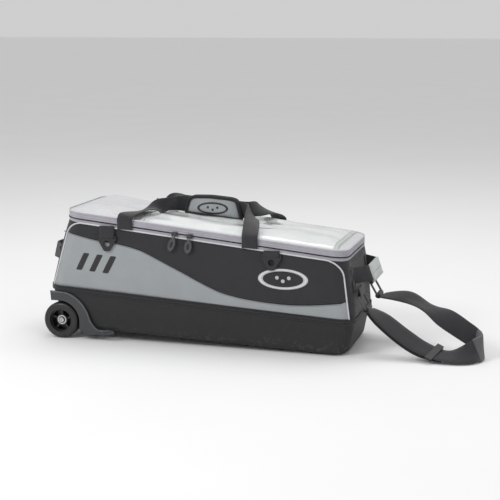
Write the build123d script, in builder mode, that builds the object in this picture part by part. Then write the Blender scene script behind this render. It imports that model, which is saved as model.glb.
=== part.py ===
"""Rolling bowling bag for three balls: a moulded lower tub on two wheels, soft sides, a zipped cover,
a pair of wrapped carry handles and a webbing pull strap. Millimetres, +Z up, floor at z = 0."""

import os
from math import cos, radians, sin

from build123d import *

os.makedirs("parts", exist_ok=True)

# --- Driving dimensions ---------------------------------------------------------------------------
bag_x = -123.0  # the bag's middle along X; with the pull strap laid out, the footprint is centred
half_width = 133.0  # outer face of the front and rear panels
corner_r = 40.0  # plan radius of the bag's upright corners
panel_t = 3.0  # padded panel thickness
ball_d = 218.0
ball_pitch = 228.0

# Sloping lines of the side view, as (height at the bag's middle, slope along X)
bottom_line = (15.0, -0.034)
seam_line = (109.5, -0.0585)
rim_line = (259.0, -0.1)
# Leaning ends of the side view, as (x at the floor, lean along Z)
wheel_end = (-431.8, 0.294)
pull_end = (373.6, -0.132)

tub_wall = 3.0
tub_draft = 5.0  # how far the tub's long sides draw in at the bottom
tub_bottom_x = (-386.0, 346.0)
bow_top = (-394.0, 112.0)  # the tub's wheel end slopes in between these two points
bow_foot = (-366.0, 20.0)

wheel_x, wheel_r, wheel_w = -362.0, 44.5, 32.0
wheel_y = 120.0  # middle of the tread
arch_r = 50.0
housing_wall = 3.5
housing_depth = 88.5  # distance of the housing's inner wall from the bag's middle plane
hub_r, hub_rim_t = 28.0, 3.0
bearing_or, bearing_split_r, bore_r, bearing_w = 11.0, 9.0, 4.0, 7.0
axle_r = 3.95
running = 0.05
spoke_count = 5

tape_h = 7.0  # lower zip tape, above the rim
skirt_gap = 0.5
skirt_h = 15.0
crown_h = 13.0  # rise of the cover above its skirt
crown_inset = 62.0
cover_t = 2.0
seam_x = (-150.0, 318.0)  # the cover's two cross seams

trim_proud = 2.6  # webbing sewn over the piping starts this far out
web_w, narrow_w, web_t = 50.0, 38.0, 2.4
clip_x = (-235.0, 170.0)
clip_hole_r, clip_t, clip_bar_r = 7.5, 4.0, 1.8
clip_drop = (24.0, 9.0)  # each pivot below the rim line
slider_x = (-65.0, -28.0)

ring_x, ring_z, ring_y, ring_wire_r, ring_drop = 369.5, 140.0, 80.0, 2.5, 34.0
ring_hang = 30.0  # degrees from straight down


# --- Views and shared shapes ----------------------------------------------------------------------
def side(y):
    """Side view at y: sketch x runs along the bag, sketch y is height, extrusions go towards -Y."""
    return Plane(origin=(bag_x, y, 0), x_dir=(1, 0, 0), z_dir=(0, -1, 0))


def plan(z):
    """Plan view at height z."""
    return Plane(origin=(bag_x, 0, z))


def end(x):
    """End view at x: sketch x runs along Y, extrusions go towards +X."""
    return Plane(origin=(bag_x + x, 0, 0), x_dir=(0, 1, 0), z_dir=(1, 0, 0))


def along(line, lift=0.0):
    """Sloping plan view that follows a line of the side view, lifted square to it."""
    return Plane(origin=(bag_x, 0, line[0]), x_dir=(1, 0, line[1]), z_dir=(-line[1], 0, 1)).offset(lift)


def height(line, x):
    return line[0] + line[1] * x


def raised(line, lift):
    return (line[0] + lift, line[1])


def meet(lean, line):
    """Point where a leaning end crosses a sloping line."""
    x = (lean[0] + lean[1] * line[0]) / (1 - lean[1] * line[1])
    return (x, height(line, x))


def outline(low, high, inset=0.0):
    """Corner points of the bag's side view between two sloping lines."""
    left = (wheel_end[0] + inset, wheel_end[1])
    right = (pull_end[0] - inset, pull_end[1])
    return [meet(left, low), meet(right, low), meet(right, high), meet(left, high)]


def bag_block(low, high, inset=0.0):
    """Solid bag between two sloping lines, its upright corners rounded."""
    with BuildPart() as block:
        with BuildSketch(side(0)):
            Polygon(*outline(low, high, inset), align=None)
        extrude(amount=half_width - inset, both=True)
        upright = block.edges().filter_by(lambda e: abs(e.tangent_at(0.5).Z) > 0.9)
        fillet(upright, corner_r - inset)
    return block.part


def tub_block(inset=0.0):
    """Solid tub with draft on every side and a sloping wheel end."""
    floor = raised(bottom_line, inset)
    with BuildPart() as block:
        for line, ends, half in (
            (floor, (tub_bottom_x[0] + inset, tub_bottom_x[1] - inset), half_width - tub_draft - inset),
            (seam_line, [p[0] for p in outline(seam_line, seam_line, inset)[:2]], half_width - inset),
        ):
            with BuildSketch(along(line)):
                with Locations(((ends[0] + ends[1]) / 2, 0)):
                    RectangleRounded(ends[1] - ends[0], 2 * half, corner_r - inset)
        loft()
        bottom = block.faces().sort_by(Axis.Z)[0]
        fillet(bottom.edges(), 12 - inset)
        with BuildSketch(side(0)):
            bow = [(bow_top[0] + inset, bow_top[1]), (bow_foot[0] + inset, bow_foot[1])]
            Polygon(*bow, (bow_foot[0], -50), (bow_top[0] - 50, -50), (bow_top[0] - 50, bow_top[1]), align=None)
        extrude(amount=half_width, both=True, mode=Mode.SUBTRACT)
    return block.part


def panel_sketch(inset=0.0):
    """Side panel outline inside its piping, with rounded top corners."""
    points = outline(seam_line, raised(rim_line, 2.0), 12.0)
    with BuildSketch(side(0)) as sketch:
        Polygon(*points, align=None)
        fillet(sketch.vertices().filter_by(lambda v: v.Z > 180), 35)
        if inset:
            offset(amount=-inset, kind=Kind.ARC)
    return sketch.sketch


def swoosh_sketch():
    """Everything below the curve that divides the grey and black fabric."""
    with BuildSketch(side(0)) as sketch:
        with BuildLine():
            Spline(
                (-400, 272), (-342, 264), (-260, 248), (-204, 241), (-153, 229), (-103, 207),
                (-54, 184), (-4, 160), (45, 139), (93, 128), (166, 120), (237, 119), (333, 128), (400, 138),
            )
            Polyline((400, 138), (400, 0), (-400, 0), (-400, 272))
        make_face()
    return sketch.sketch


def pocket_sketch(plane, inset=0.0):
    """Wheel pocket in the side view: an arch over the wheel that runs out at the end of the bag."""
    r = arch_r + housing_wall - inset
    with BuildSketch(plane) as sketch:
        with BuildLine():
            RadiusArc((wheel_x + r, wheel_r), (wheel_x, wheel_r + r), -r)
            Polyline((wheel_x, wheel_r + r), (-430, wheel_r + r), (-430, -20), (wheel_x + r, -20),
                     (wheel_x + r, wheel_r))
        make_face()
    return sketch.sketch


def band(stations, width, thickness):
    """Webbing lofted through (point, direction across) stations; points are in the bag's frame."""
    points = [Vector(bag_x + x, y, z) for (x, y, z), _ in stations]
    sections = []
    for i, (_, across) in enumerate(stations):
        ahead = points[min(i + 1, len(points) - 1)] - points[max(i - 1, 0)]
        with BuildSketch(Plane(origin=points[i], x_dir=across, z_dir=ahead)) as section:
            Rectangle(width, thickness)
        sections.append(section.sketch)
    for first, second in zip(sections, sections[1:]):
        loft([first, second], ruled=True)


def save(builder, name):
    builder.part.label = name
    export_step(builder.part, f"parts/{name}.step")


walls = bag_block(seam_line, rim_line)
walls_inside = bag_block(raised(seam_line, -20), raised(rim_line, 20), panel_t)
walls_proud = bag_block(seam_line, rim_line, -2.5)
outline_face = panel_sketch()
outline_inner = panel_sketch(4.0)
swoosh = swoosh_sketch()

# --- Moulded lower tub and what is fixed in it ----------------------------------------------------
tub_outside = tub_block()
tub_inside = tub_block(tub_wall)
with BuildPart() as lower_tub:
    add(tub_outside)
    add(tub_inside, mode=Mode.SUBTRACT)
    for y in (-housing_depth, half_width + 10):
        extrude(pocket_sketch(side(y)), amount=half_width + 10 - housing_depth, mode=Mode.SUBTRACT)
save(lower_tub, "lower_tub")

board_t = 6.0
board_x = (-282.0, 330.0)
board_line = raised(bottom_line, tub_wall)
with BuildPart() as base_board:
    with BuildSketch(along(board_line, 0.3)):
        with Locations(((board_x[0] + board_x[1]) / 2, 0)):
            RectangleRounded(board_x[1] - board_x[0], 2 * (half_width - tub_draft - tub_wall - 9), 30)
    extrude(amount=board_t)
save(base_board, "base_board")

cushion_h, cushion_r = 16.0, 95.0
with BuildPart() as ball_cushions:
    for i in (-1, 0, 1):
        x = i * ball_pitch
        top = height(board_line, x) + board_t + 0.3 + cushion_h
        base = along(board_line, board_t + 0.3)
        with BuildSketch(base):
            with Locations((x, 0)):
                Circle(cushion_r)
        extrude(amount=cushion_h)
        with Locations((bag_x + x, 0, top + ball_d / 2 - cushion_h + 2)):
            Sphere(ball_d / 2, mode=Mode.SUBTRACT)
save(ball_cushions, "ball_cushions")

divider_t, divider_top = 8.0, 212.0
for name, x in (("divider_wheel_side", -ball_pitch / 2), ("divider_pull_side", ball_pitch / 2)):
    with BuildPart() as divider:
        foot = height(board_line, x) + board_t + 1.0
        with BuildSketch(end(x - divider_t / 2)):
            with Locations((0, (foot + divider_top) / 2)):
                RectangleRounded(2 * (half_width - panel_t - 6.5), divider_top - foot, 12)
        extrude(amount=divider_t)
    save(divider, name)

with BuildPart() as skid_feet:
    with BuildSketch(side(0)):
        Polygon(
            (236, 0), (300, 0), (308, height(bottom_line, 308)), (228, height(bottom_line, 228)), align=None
        )
    extrude(amount=92, both=True)
    with BuildSketch(side(0)):
        Rectangle(900, 100)
    extrude(amount=78, both=True, mode=Mode.SUBTRACT)
save(skid_feet, "skid_feet")

# --- Wheel housings, axles and wheels -------------------------------------------------------------
fender_face_y = half_width + 3.5


def fender_sketch(plane):
    """Outer face of a wheel housing: a fender that sweeps down to a toe under the tub."""
    toe_z = height(bottom_line, -221)
    with BuildSketch(plane) as sketch:
        with BuildLine():
            Spline((-345, 116), (-310, 97), (-290, 69), (-280, 45), (-262, 27), (-226, toe_z + 6))
            Polyline((-226, toe_z + 6), (-221, toe_z - 2), (-240, 15), (-297, 14), (wheel_x + arch_r, 24),
                     (wheel_x + arch_r, wheel_r))
            RadiusArc((wheel_x + arch_r, wheel_r), (wheel_x, wheel_r + arch_r), -arch_r)
            Polyline((wheel_x, wheel_r + arch_r), (-385, wheel_r + arch_r), (-387, 118), (-345, 116))
        make_face()
    return sketch.sketch


def wheel_housing():
    """Housing on the front side: arch, inner wall with the axle hole, and the fender face."""
    depth = half_width - housing_depth
    with BuildPart() as housing:
        extrude(pocket_sketch(side(-housing_depth)), amount=depth)
        extrude(
            pocket_sketch(side(-housing_depth - housing_wall), housing_wall), amount=depth, mode=Mode.SUBTRACT
        )
        with BuildSketch(side(0)):
            with Locations((-340, 60)):
                Rectangle(94, 200)
        extrude(amount=half_width + 20, both=True, mode=Mode.INTERSECT)
        extrude(fender_sketch(side(-half_width)), amount=fender_face_y - half_width)
        with BuildSketch(side(0)):
            with Locations((-250, -50)):
                Rectangle(400, 128)
        extrude(amount=half_width + 20, both=True, mode=Mode.SUBTRACT)
        with BuildSketch(side(0)):
            with Locations((wheel_x, wheel_r)):
                Circle(bore_r + 0.2)
        extrude(amount=half_width, mode=Mode.SUBTRACT)
    return housing.part


front_housing = wheel_housing()
for name, mirrored in (("wheel_housing_front", False), ("wheel_housing_rear", True)):
    with BuildPart() as housing:
        add(mirror(front_housing, about=Plane.XZ) if mirrored else front_housing)
    save(housing, name)


def wheel_ring(outer, inner, y_out, y_in, mode=Mode.ADD):
    """Ring about the front wheel's axis between two distances from the bag's middle plane."""
    with BuildSketch(side(-y_in)) as disc:
        with Locations((wheel_x, wheel_r)):
            Circle(outer)
            if inner:
                Circle(inner, mode=Mode.SUBTRACT)
    extrude(disc.sketch, amount=y_out - y_in, mode=mode)


face_y, back_y = wheel_y + wheel_w / 2, wheel_y - wheel_w / 2
recess = 9.0  # the outer bearing sits this far inside the tread's face
bearing_ys = ((face_y - recess, face_y - recess - bearing_w), (back_y + 3 + bearing_w, back_y + 3))

with BuildPart() as tyre:
    wheel_ring(wheel_r, hub_r, face_y, back_y)
    fillet(tyre.edges().filter_by(GeomType.CIRCLE).group_by(SortBy.RADIUS)[-1], 8)

with BuildPart() as hub:
    hub_out, hub_in = face_y - 6, back_y + 4
    wheel_ring(hub_r, hub_r - hub_rim_t, hub_out, hub_in)
    wheel_ring(bearing_or + 3, 0, face_y - recess, back_y + 3)
    wheel_ring(hub_r - hub_rim_t, bearing_or, back_y + 8, back_y + 5.5)
    for i in range(spoke_count):
        turn = 360 / spoke_count * i + 90
        mid = (bearing_or + hub_r) / 2
        with BuildSketch(side(-hub_in - 5)):
            with Locations((wheel_x + mid * cos(radians(turn)), wheel_r + mid * sin(radians(turn)))):
                Rectangle(hub_r - bearing_or - 2, 5, rotation=turn)
        extrude(amount=hub_out - hub_in - 10)
    wheel_ring(bearing_or - 2, 0, face_y, back_y, mode=Mode.SUBTRACT)
    for y_out, y_in in bearing_ys:
        wheel_ring(bearing_or, 0, y_out, y_in, mode=Mode.SUBTRACT)

with BuildPart() as bearing_shells:
    for y_out, y_in in bearing_ys:
        wheel_ring(bearing_or, bearing_split_r, y_out, y_in)

with BuildPart() as bearing_cores:
    for y_out, y_in in bearing_ys:
        wheel_ring(bearing_split_r - running, bore_r, y_out, y_in)

with BuildPart() as axle_spacer:
    wheel_ring(bore_r + 2, bore_r, bearing_ys[0][1], bearing_ys[1][0])
    wheel_ring(bore_r + 2, bore_r, bearing_ys[1][1], housing_depth + housing_wall)

wheel_pieces = {
    "tyre": tyre, "hub": hub, "bearing_shells": bearing_shells, "bearing_cores": bearing_cores,
    "axle_spacers": axle_spacer,
}
for piece, source in wheel_pieces.items():
    for place, mirrored in (("front", False), ("rear", True)):
        with BuildPart() as copy_of:
            add(mirror(source.part, about=Plane.XZ) if mirrored else source.part)
        save(copy_of, f"{place}_{piece}")

bolt_head_r, bolt_head_h, nut_t = 6.0, 2.6, 6.0
with BuildPart() as axle_bolts:
    wheel_ring(axle_r, 0, bearing_ys[0][0], housing_depth - nut_t - 2)
    wheel_ring(bolt_head_r, 0, bearing_ys[0][0] + bolt_head_h, bearing_ys[0][0])
    with BuildSketch(side(-bearing_ys[0][0] - bolt_head_h)):
        with Locations((wheel_x, wheel_r)):
            RegularPolygon(2.5, 6)
    extrude(amount=-1.6, mode=Mode.SUBTRACT)
    mirror(about=Plane.XZ)
save(axle_bolts, "axle_bolts")

with BuildPart() as axle_nuts:
    with BuildSketch(side(-housing_depth + nut_t)):
        with Locations((wheel_x, wheel_r)):
            RegularPolygon(7.2, 6)
            Circle(axle_r, mode=Mode.SUBTRACT)
    extrude(amount=nut_t)
    mirror(about=Plane.XZ)
save(axle_nuts, "axle_nuts")

# --- Soft sides -----------------------------------------------------------------------------------
binding_h, trim_t = 12.0, 2.0
binding_low = raised(seam_line, -binding_h)
binding_out = bag_block(binding_low, raised(seam_line, -0.2), -trim_t)
binding_in = bag_block(raised(binding_low, -9), raised(seam_line, 9), -0.2)
with BuildPart() as seam_binding:
    add(binding_out)
    add(binding_in, mode=Mode.SUBTRACT)
save(seam_binding, "seam_binding")

with BuildPart() as front_panel_grey:
    add(walls)
    add(walls_inside, mode=Mode.SUBTRACT)
    extrude(outline_face, amount=half_width + 5, mode=Mode.INTERSECT)
    extrude(swoosh, amount=half_width + 5, mode=Mode.INTERSECT)
save(front_panel_grey, "front_panel_grey")

with BuildPart() as front_panel_black:
    add(walls)
    add(walls_inside, mode=Mode.SUBTRACT)
    extrude(outline_face, amount=half_width + 5, mode=Mode.INTERSECT)
    extrude(swoosh, amount=half_width + 5, mode=Mode.SUBTRACT)
save(front_panel_black, "front_panel_black")

for tone, source in (("grey", front_panel_grey), ("black", front_panel_black)):
    with BuildPart() as rear_panel:
        add(mirror(source.part, about=Plane.XZ))
    save(rear_panel, f"rear_panel_{tone}")

for name, ends in (("wheel_end_panel", (-450, 0)), ("pull_end_panel", (0, 450))):
    with BuildPart() as end_panel:
        add(walls)
        add(walls_inside, mode=Mode.SUBTRACT)
        extrude(outline_face, amount=half_width + 5, both=True, mode=Mode.SUBTRACT)
        with BuildSketch(side(0)):
            with Locations(((ends[0] + ends[1]) / 2, 200)):
                Rectangle(450, 400)
        extrude(amount=half_width + 5, both=True, mode=Mode.INTERSECT)
    save(end_panel, name)

with BuildPart() as panel_piping:
    add(walls_proud)
    add(walls, mode=Mode.SUBTRACT)
    extrude(outline_face, amount=half_width + 5, both=True, mode=Mode.INTERSECT)
    extrude(outline_inner, amount=half_width + 5, both=True, mode=Mode.SUBTRACT)
save(panel_piping, "panel_piping")

badge_t = 1.0
with BuildPart() as side_badges:
    with BuildSketch(side(-half_width)):
        with Locations((197, 178)):
            Ellipse(60, 25)
    extrude(amount=badge_t)
    mirror(about=Plane.XZ)
save(side_badges, "side_badges")

with BuildPart() as side_stripes:
    for i in range(3):
        x = -318 + 34 * i
        with BuildSketch(side(-half_width)):
            Polygon((x, 172), (x + 14, 172), (x + 36, 214), (x + 22, 214), align=None)
        extrude(amount=badge_t)
    mirror(about=Plane.XZ)
save(side_stripes, "side_stripes")

# --- Rim, zip and cover ---------------------------------------------------------------------------
rim_end = (meet(wheel_end, rim_line)[0], meet(pull_end, rim_line)[0])
rim_middle = (rim_end[0] + rim_end[1]) / 2
rim_length = rim_end[1] - rim_end[0]


def rim_sketch(lift, inset=0.0):
    """Rounded plan outline of the rim, square to the rim line."""
    with BuildSketch(along(rim_line, lift)) as sketch:
        with Locations((rim_middle, 0)):
            RectangleRounded(rim_length - 2 * inset, 2 * (half_width - inset), max(corner_r - inset, 6))
    return sketch.sketch


with BuildPart() as lower_zip_tape:
    extrude(rim_sketch(0.0), amount=tape_h)
    extrude(rim_sketch(0.0, 1.6), amount=tape_h, mode=Mode.SUBTRACT)
save(lower_zip_tape, "lower_zip_tape")

skirt_low = tape_h + skirt_gap
skirt_top = skirt_low + skirt_h
with BuildPart() as cover_skirt:
    extrude(rim_sketch(skirt_low), amount=skirt_h)
    extrude(rim_sketch(skirt_low, cover_t), amount=skirt_h, mode=Mode.SUBTRACT)
save(cover_skirt, "cover_skirt")

piping_t = 2.0
with BuildPart() as cover_piping:
    extrude(rim_sketch(skirt_top, -1.0), amount=piping_t)
    extrude(rim_sketch(skirt_top, cover_t), amount=piping_t, mode=Mode.SUBTRACT)
save(cover_piping, "cover_piping")


def crown(inset, drop):
    """Solid under the cover's low dome."""
    steps = ((0.0, 0.0), (0.22, 0.55), (0.6, 0.9), (1.0, 1.0))
    base = skirt_top + piping_t - drop
    with BuildPart() as dome:
        loft([rim_sketch(base + up * crown_h, inset + out * crown_inset) for out, up in steps], ruled=True)
    return dome.part


crown_outside = crown(0.6, 0.0)
with BuildPart() as crown_shell:
    add(crown_outside)
    add(crown(0.6 + cover_t, cover_t), mode=Mode.SUBTRACT)
cover_parts = {
    "cover_wheel_panel": (-420, seam_x[0]), "cover_window": seam_x, "cover_pull_panel": (seam_x[1], 420),
}
for name, ends in cover_parts.items():
    with BuildPart() as cover_panel:
        add(crown_shell.part)
        with BuildSketch(side(0)):
            with Locations(((ends[0] + ends[1]) / 2, 300)):
                Rectangle(ends[1] - ends[0], 300)
        extrude(amount=half_width + 5, both=True, mode=Mode.INTERSECT)
    save(cover_panel, name)

strip_t = 1.2
with BuildPart() as cover_hinge_strip:
    with BuildSketch(side(half_width + 0.2)):
        ends = [(x, height(rim_line, x)) for x in (-290, 285)]
        Polygon(*[(x, z + 0.6) for x, z in ends], *[(x, z + tape_h - 0.6) for x, z in ends[::-1]], align=None)
    extrude(amount=-strip_t)
save(cover_hinge_strip, "cover_hinge_strip")

slider_gap = 0.5
slider_size = (16.0, 5.0, 9.0)
pull_size = (18.0, 2.0, 33.0)
pull_neck = 7.0  # from the pin down to the wide part of the pull
pin_r, knuckle_r, knuckle_w, lug_w = 1.0, 2.2, 6.0, 1.6
for side_name, x in (("wheel", slider_x[0]), ("pull", slider_x[1])):
    z = height(rim_line, x) + tape_h
    y = -half_width - slider_gap - slider_size[1] / 2
    pin_y = y - slider_size[1] / 2 - 3.0
    lug_x = (knuckle_w + lug_w) / 2 + 0.3
    with BuildPart() as slider:
        with Locations((bag_x + x, y, z)):
            Box(*slider_size)
        fillet(slider.edges().filter_by(Axis.Y), 2.5)
        for lug in (-lug_x, lug_x):
            with BuildSketch(end(x + lug - lug_w / 2)):
                with Locations((pin_y, z)):
                    Circle(knuckle_r)
                with Locations(((pin_y + y) / 2, z)):
                    Rectangle(y - pin_y, 2 * knuckle_r)
            extrude(amount=lug_w)
        with Locations(Plane(origin=(bag_x + x, pin_y, z), z_dir=(1, 0, 0))):
            Cylinder(pin_r, 2 * lug_x)
    save(slider, f"zip_slider_{side_name}_side")
    with BuildPart() as pull_tab:
        with BuildSketch(side(pin_y + pull_size[1] / 2)):
            with Locations((x, z - pull_neck - pull_size[2] / 2)):
                SlotOverall(pull_size[2], pull_size[0], rotation=90)
            with Locations((x, z)):
                Rectangle(knuckle_w, pull_neck + 6, align=(Align.CENTER, Align.MAX))
        extrude(amount=pull_size[1])
        with Locations(Plane(origin=(bag_x + x, pin_y, z), z_dir=(1, 0, 0))):
            Cylinder(knuckle_r, knuckle_w)
            Cylinder(pin_r + running, knuckle_w, mode=Mode.SUBTRACT)
    save(pull_tab, f"zip_pull_{side_name}_side")

# --- Webbing fixed to the bag ---------------------------------------------------------------------
grab_h, grab_t = 38.0, 3.0
pull_grab = (346.5, 42.0, 187.0)  # x where the loop is sewn, its reach, and the height of its middle
wheel_grab = (-362.0, -44.0, 207.0)
for name, (x_wall, reach, grab_z) in (("pull_end_grab", pull_grab), ("wheel_end_grab", wheel_grab)):
    with BuildPart() as grab:
        with BuildSketch(plan(grab_z - grab_h / 2)):
            with BuildLine():
                FilletPolyline(
                    (x_wall, -96), (x_wall + reach, -62), (x_wall + reach, 62), (x_wall, 96), radius=14
                )
                offset(amount=grab_t / 2, side=Side.BOTH)
            make_face()
        extrude(amount=grab_h)
        add(bag_block(raised(seam_line, -5), raised(rim_line, 5), -0.3), mode=Mode.SUBTRACT)
    save(grab, name)
sleeve_t = 2.0
with BuildPart() as grab_sleeve:
    with BuildSketch(plan(pull_grab[2] - grab_h / 2 - 2)):
        with Locations((pull_grab[0] + pull_grab[1], 0)):
            Rectangle(grab_t + 2 * sleeve_t, 106)
            Rectangle(grab_t + 0.4, 110, mode=Mode.SUBTRACT)
    extrude(amount=grab_h + 4)
save(grab_sleeve, "grab_sleeve")

loop_out, loop_top = 3.2, 2.0  # each loop is sewn this far above the rim line
clip_y = half_width + trim_proud + loop_out
with BuildPart() as clip_loops:
    for x, drop in zip(clip_x, clip_drop):
        z = height(rim_line, x) - drop
        with BuildSketch(end(x - narrow_w / 2)):
            with Locations((-clip_y, z)):
                Circle(loop_out)
                Rectangle(loop_out, loop_out, align=(Align.MIN, Align.MIN))
            with Locations((-clip_y + loop_out - web_t / 2, z + (drop + loop_top) / 2)):
                Rectangle(web_t, drop + loop_top)
            with Locations((-clip_y, z)):
                Circle(clip_bar_r + running, mode=Mode.SUBTRACT)
        extrude(amount=narrow_w)
    mirror(about=Plane.XZ)
save(clip_loops, "clip_loops")

clip_half, clip_tip, clip_reach, ear_w = 25.0, 7.0, 35.0, 3.6
for side_name, x, drop in zip(("wheel", "pull"), clip_x, clip_drop):
    z = height(rim_line, x) - drop
    with BuildPart() as clip:
        with BuildSketch(side(-clip_y + clip_t / 2)):
            with BuildLine():
                FilletPolyline(
                    (x - clip_half, z - 4), (x + clip_half, z - 4),
                    (x + clip_tip, z - clip_reach), (x - clip_tip, z - clip_reach), radius=4, close=True,
                )
            make_face()
            with Locations((x - clip_half + 3, z - 3), (x + clip_half - 3, z - 3)):
                Rectangle(ear_w, 10)
            with Locations((x, z - clip_reach + 18)):
                Circle(clip_hole_r, mode=Mode.SUBTRACT)
        extrude(amount=clip_t)
        with Locations(Plane(origin=(bag_x + x, -clip_y, z), z_dir=(1, 0, 0))):
            Cylinder(clip_bar_r, 2 * (clip_half - 3))
    save(clip, f"clip_plate_front_{side_name}_side")
    with BuildPart() as rear_clip:
        add(mirror(clip.part, about=Plane.XZ))
    save(rear_clip, f"clip_plate_rear_{side_name}_side")

# --- Carry handles --------------------------------------------------------------------------------
wrap_y = 7.0  # each handle's webbing stands this far from the bag's middle plane at the wrap
leg_y = half_width + trim_proud + web_t
leg_x = (-189.0, 118.0)
leg_pivot = [height(rim_line, x) for x in leg_x]  # the handles swing about the rim line
handle_route = [
    ((leg_x[0], -leg_y, leg_pivot[0]), (1, 0, 0)), ((leg_x[0], -leg_y, 304), (1, 0, 0)),
    ((-182, -128, 312), (1, 0.1, 0)), ((-150, -84, 319), (0.85, 0.5, 0.15)),
    ((-110, -28, 327), (0.3, 0.8, -0.5)), ((-84, -wrap_y, 326), (0, 0, -1)),
    ((66, -wrap_y, 315), (0, 0, -1)), ((89, -24, 315), (0.1, 0.5, -0.85)),
    ((103, -62, 308), (0.7, 0.6, -0.4)), ((113, -106, 294), (0.95, 0.3, -0.1)),
    ((leg_x[1], -leg_y + 1, 277), (1, 0, 0)), ((leg_x[1], -leg_y, leg_pivot[1]), (1, 0, 0)),
]
with BuildPart() as front_handle_webbing:
    band(handle_route, narrow_w, web_t)
    for x, z in zip(leg_x, leg_pivot):
        with Locations(Plane(origin=(bag_x + x, -leg_y, z), z_dir=(1, 0, rim_line[1]))):
            Cylinder(web_t / 2 - 0.1, narrow_w - 0.2)
save(front_handle_webbing, "front_handle_webbing")
with BuildPart() as rear_handle_webbing:
    add(mirror(front_handle_webbing.part, about=Plane.XZ))
save(rear_handle_webbing, "rear_handle_webbing")

with BuildPart() as handle_wrap:
    with BuildSketch(side(5)):
        Polygon((-80, 306.5), (63, 292.5), (46, 338), (36, 341), (-15, 345), (-58, 344), (-66, 338), align=None)
    extrude(amount=22)
    fillet(handle_wrap.edges().filter_by(lambda e: abs(e.tangent_at(0.5).Y) < 0.5), 4)
    add(front_handle_webbing.part, mode=Mode.SUBTRACT)
save(handle_wrap, "handle_wrap")

# --- Pull strap -----------------------------------------------------------------------------------
hang = radians(ring_hang)
ring_low = (ring_x + ring_drop * sin(hang), ring_z - ring_drop * cos(hang))
ring_half = web_w / 2 + 1.5 + ring_wire_r
tab_w = web_w - 4

with BuildPart() as ring_tabs:
    with BuildSketch(side(-ring_y - tab_w / 2)):
        with Locations((ring_x, ring_z)):
            Circle(4.6)
            Rectangle(9.2, 20, align=(Align.CENTER, Align.MIN))
            Circle(ring_wire_r + running, mode=Mode.SUBTRACT)
    extrude(amount=-tab_w)
    mirror(about=Plane.XZ)
    add(bag_block(raised(seam_line, -15), raised(rim_line, 5), -0.1), mode=Mode.SUBTRACT)
save(ring_tabs, "ring_tabs")

with BuildPart() as front_ring:
    ring_face = Plane(
        origin=(bag_x + ring_x, -ring_y, ring_z), x_dir=(0, 1, 0), z_dir=(cos(hang), 0, sin(hang))
    )
    with BuildLine(ring_face) as wire:
        FilletPolyline(
            (ring_half, 0), (ring_half, -ring_drop), (-ring_half, -ring_drop), (-ring_half, 0),
            radius=5, close=True,
        )
    with BuildSketch(Plane(origin=wire.line @ 0, z_dir=wire.line % 0)):
        Circle(ring_wire_r)
    sweep()
with BuildPart() as pull_rings:
    add(front_ring.part)
    add(mirror(front_ring.part, about=Plane.XZ))
save(pull_rings, "pull_rings")

strap_start = (ring_low[0] + 5.5, ring_low[1] - 2.5)
strap_route = [
    ((strap_start[0], -80, strap_start[1]), (0.0, 1.0, 0.0)),
    ((425, -88, 86), (0.33, 0.90, 0.28)),
    ((475, -97, 52), (0.40, 0.85, 0.34)),
    ((520, -103, 28), (0.40, 0.87, 0.28)),
    ((570, -108, 15), (0.30, 0.92, 0.25)),
    ((612, -104, 19), (0.10, 0.75, 0.65)),
    ((638, -88, 27), (-0.1, 0.35, 0.93)),
    ((648, -62, 30), (-0.1, 0.0, 1.0)),
    ((636, -34, 38), (-0.1, 0.1, 1.0)),
    ((601, -12, 54), (-0.15, 0.3, 0.95)),
    ((560, 12, 72), (-0.1, 0.6, 0.8)),
    ((510, 36, 92), (0.1, 0.9, 0.4)),
    ((455, 60, 110), (0.1, 0.99, 0.1)),
    ((strap_start[0], 80, strap_start[1]), (0.0, 1.0, 0.0)),
]
with BuildPart() as pull_strap:
    band(strap_route, web_w, web_t)
    for y in (-ring_y, ring_y):
        with BuildSketch(side(y + web_w / 2)):
            with Locations(ring_low):
                Circle(ring_wire_r + 0.2 + web_t)
        extrude(amount=web_w)
    for y in (-ring_y, ring_y):
        with BuildSketch(side(y + web_w / 2)):
            with Locations(ring_low):
                Circle(ring_wire_r + 0.2)
        extrude(amount=web_w, mode=Mode.SUBTRACT)
save(pull_strap, "pull_strap")

slide_at, slide_size = (545.0, -105.5, 21.0), (62.0, 16.0, 7.0)
slide_place = Plane(
    origin=(bag_x + slide_at[0], *slide_at[1:]), x_dir=(0.35, 0.895, 0.27), z_dir=(0.25, -0.4, 0.9)
)
with BuildPart() as strap_slide:
    with Locations(slide_place):
        Box(*slide_size)
    add(pull_strap.part, mode=Mode.SUBTRACT)
save(strap_slide, "strap_slide")

with BuildPart() as strap_grip:
    band(strap_route[6:9], web_w + 5, 8)
    add(pull_strap.part, mode=Mode.SUBTRACT)
save(strap_grip, "strap_grip")
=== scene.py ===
"""Rolling bowling bag: fabric, webbing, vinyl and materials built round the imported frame."""

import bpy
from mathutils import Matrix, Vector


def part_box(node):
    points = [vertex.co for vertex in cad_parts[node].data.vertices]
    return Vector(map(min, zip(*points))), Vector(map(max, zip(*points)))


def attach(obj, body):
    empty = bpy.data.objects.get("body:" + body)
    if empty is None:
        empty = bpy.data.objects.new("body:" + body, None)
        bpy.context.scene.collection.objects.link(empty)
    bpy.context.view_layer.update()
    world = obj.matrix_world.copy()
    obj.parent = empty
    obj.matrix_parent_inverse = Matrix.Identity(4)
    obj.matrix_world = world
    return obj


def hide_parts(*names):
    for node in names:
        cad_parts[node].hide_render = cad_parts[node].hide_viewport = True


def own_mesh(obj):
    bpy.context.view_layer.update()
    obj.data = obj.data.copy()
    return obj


bl_info = {
    "name": "Rolling Bowling Bag",
    "version": (1, 0, 0),
    "blender": (4, 5, 0),
    "location": "3D View > Sidebar > Bag",
    "description": "Builds the soft sides, cover, webbing and materials of a three-ball rolling bag",
    "category": "Object",
}

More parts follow.
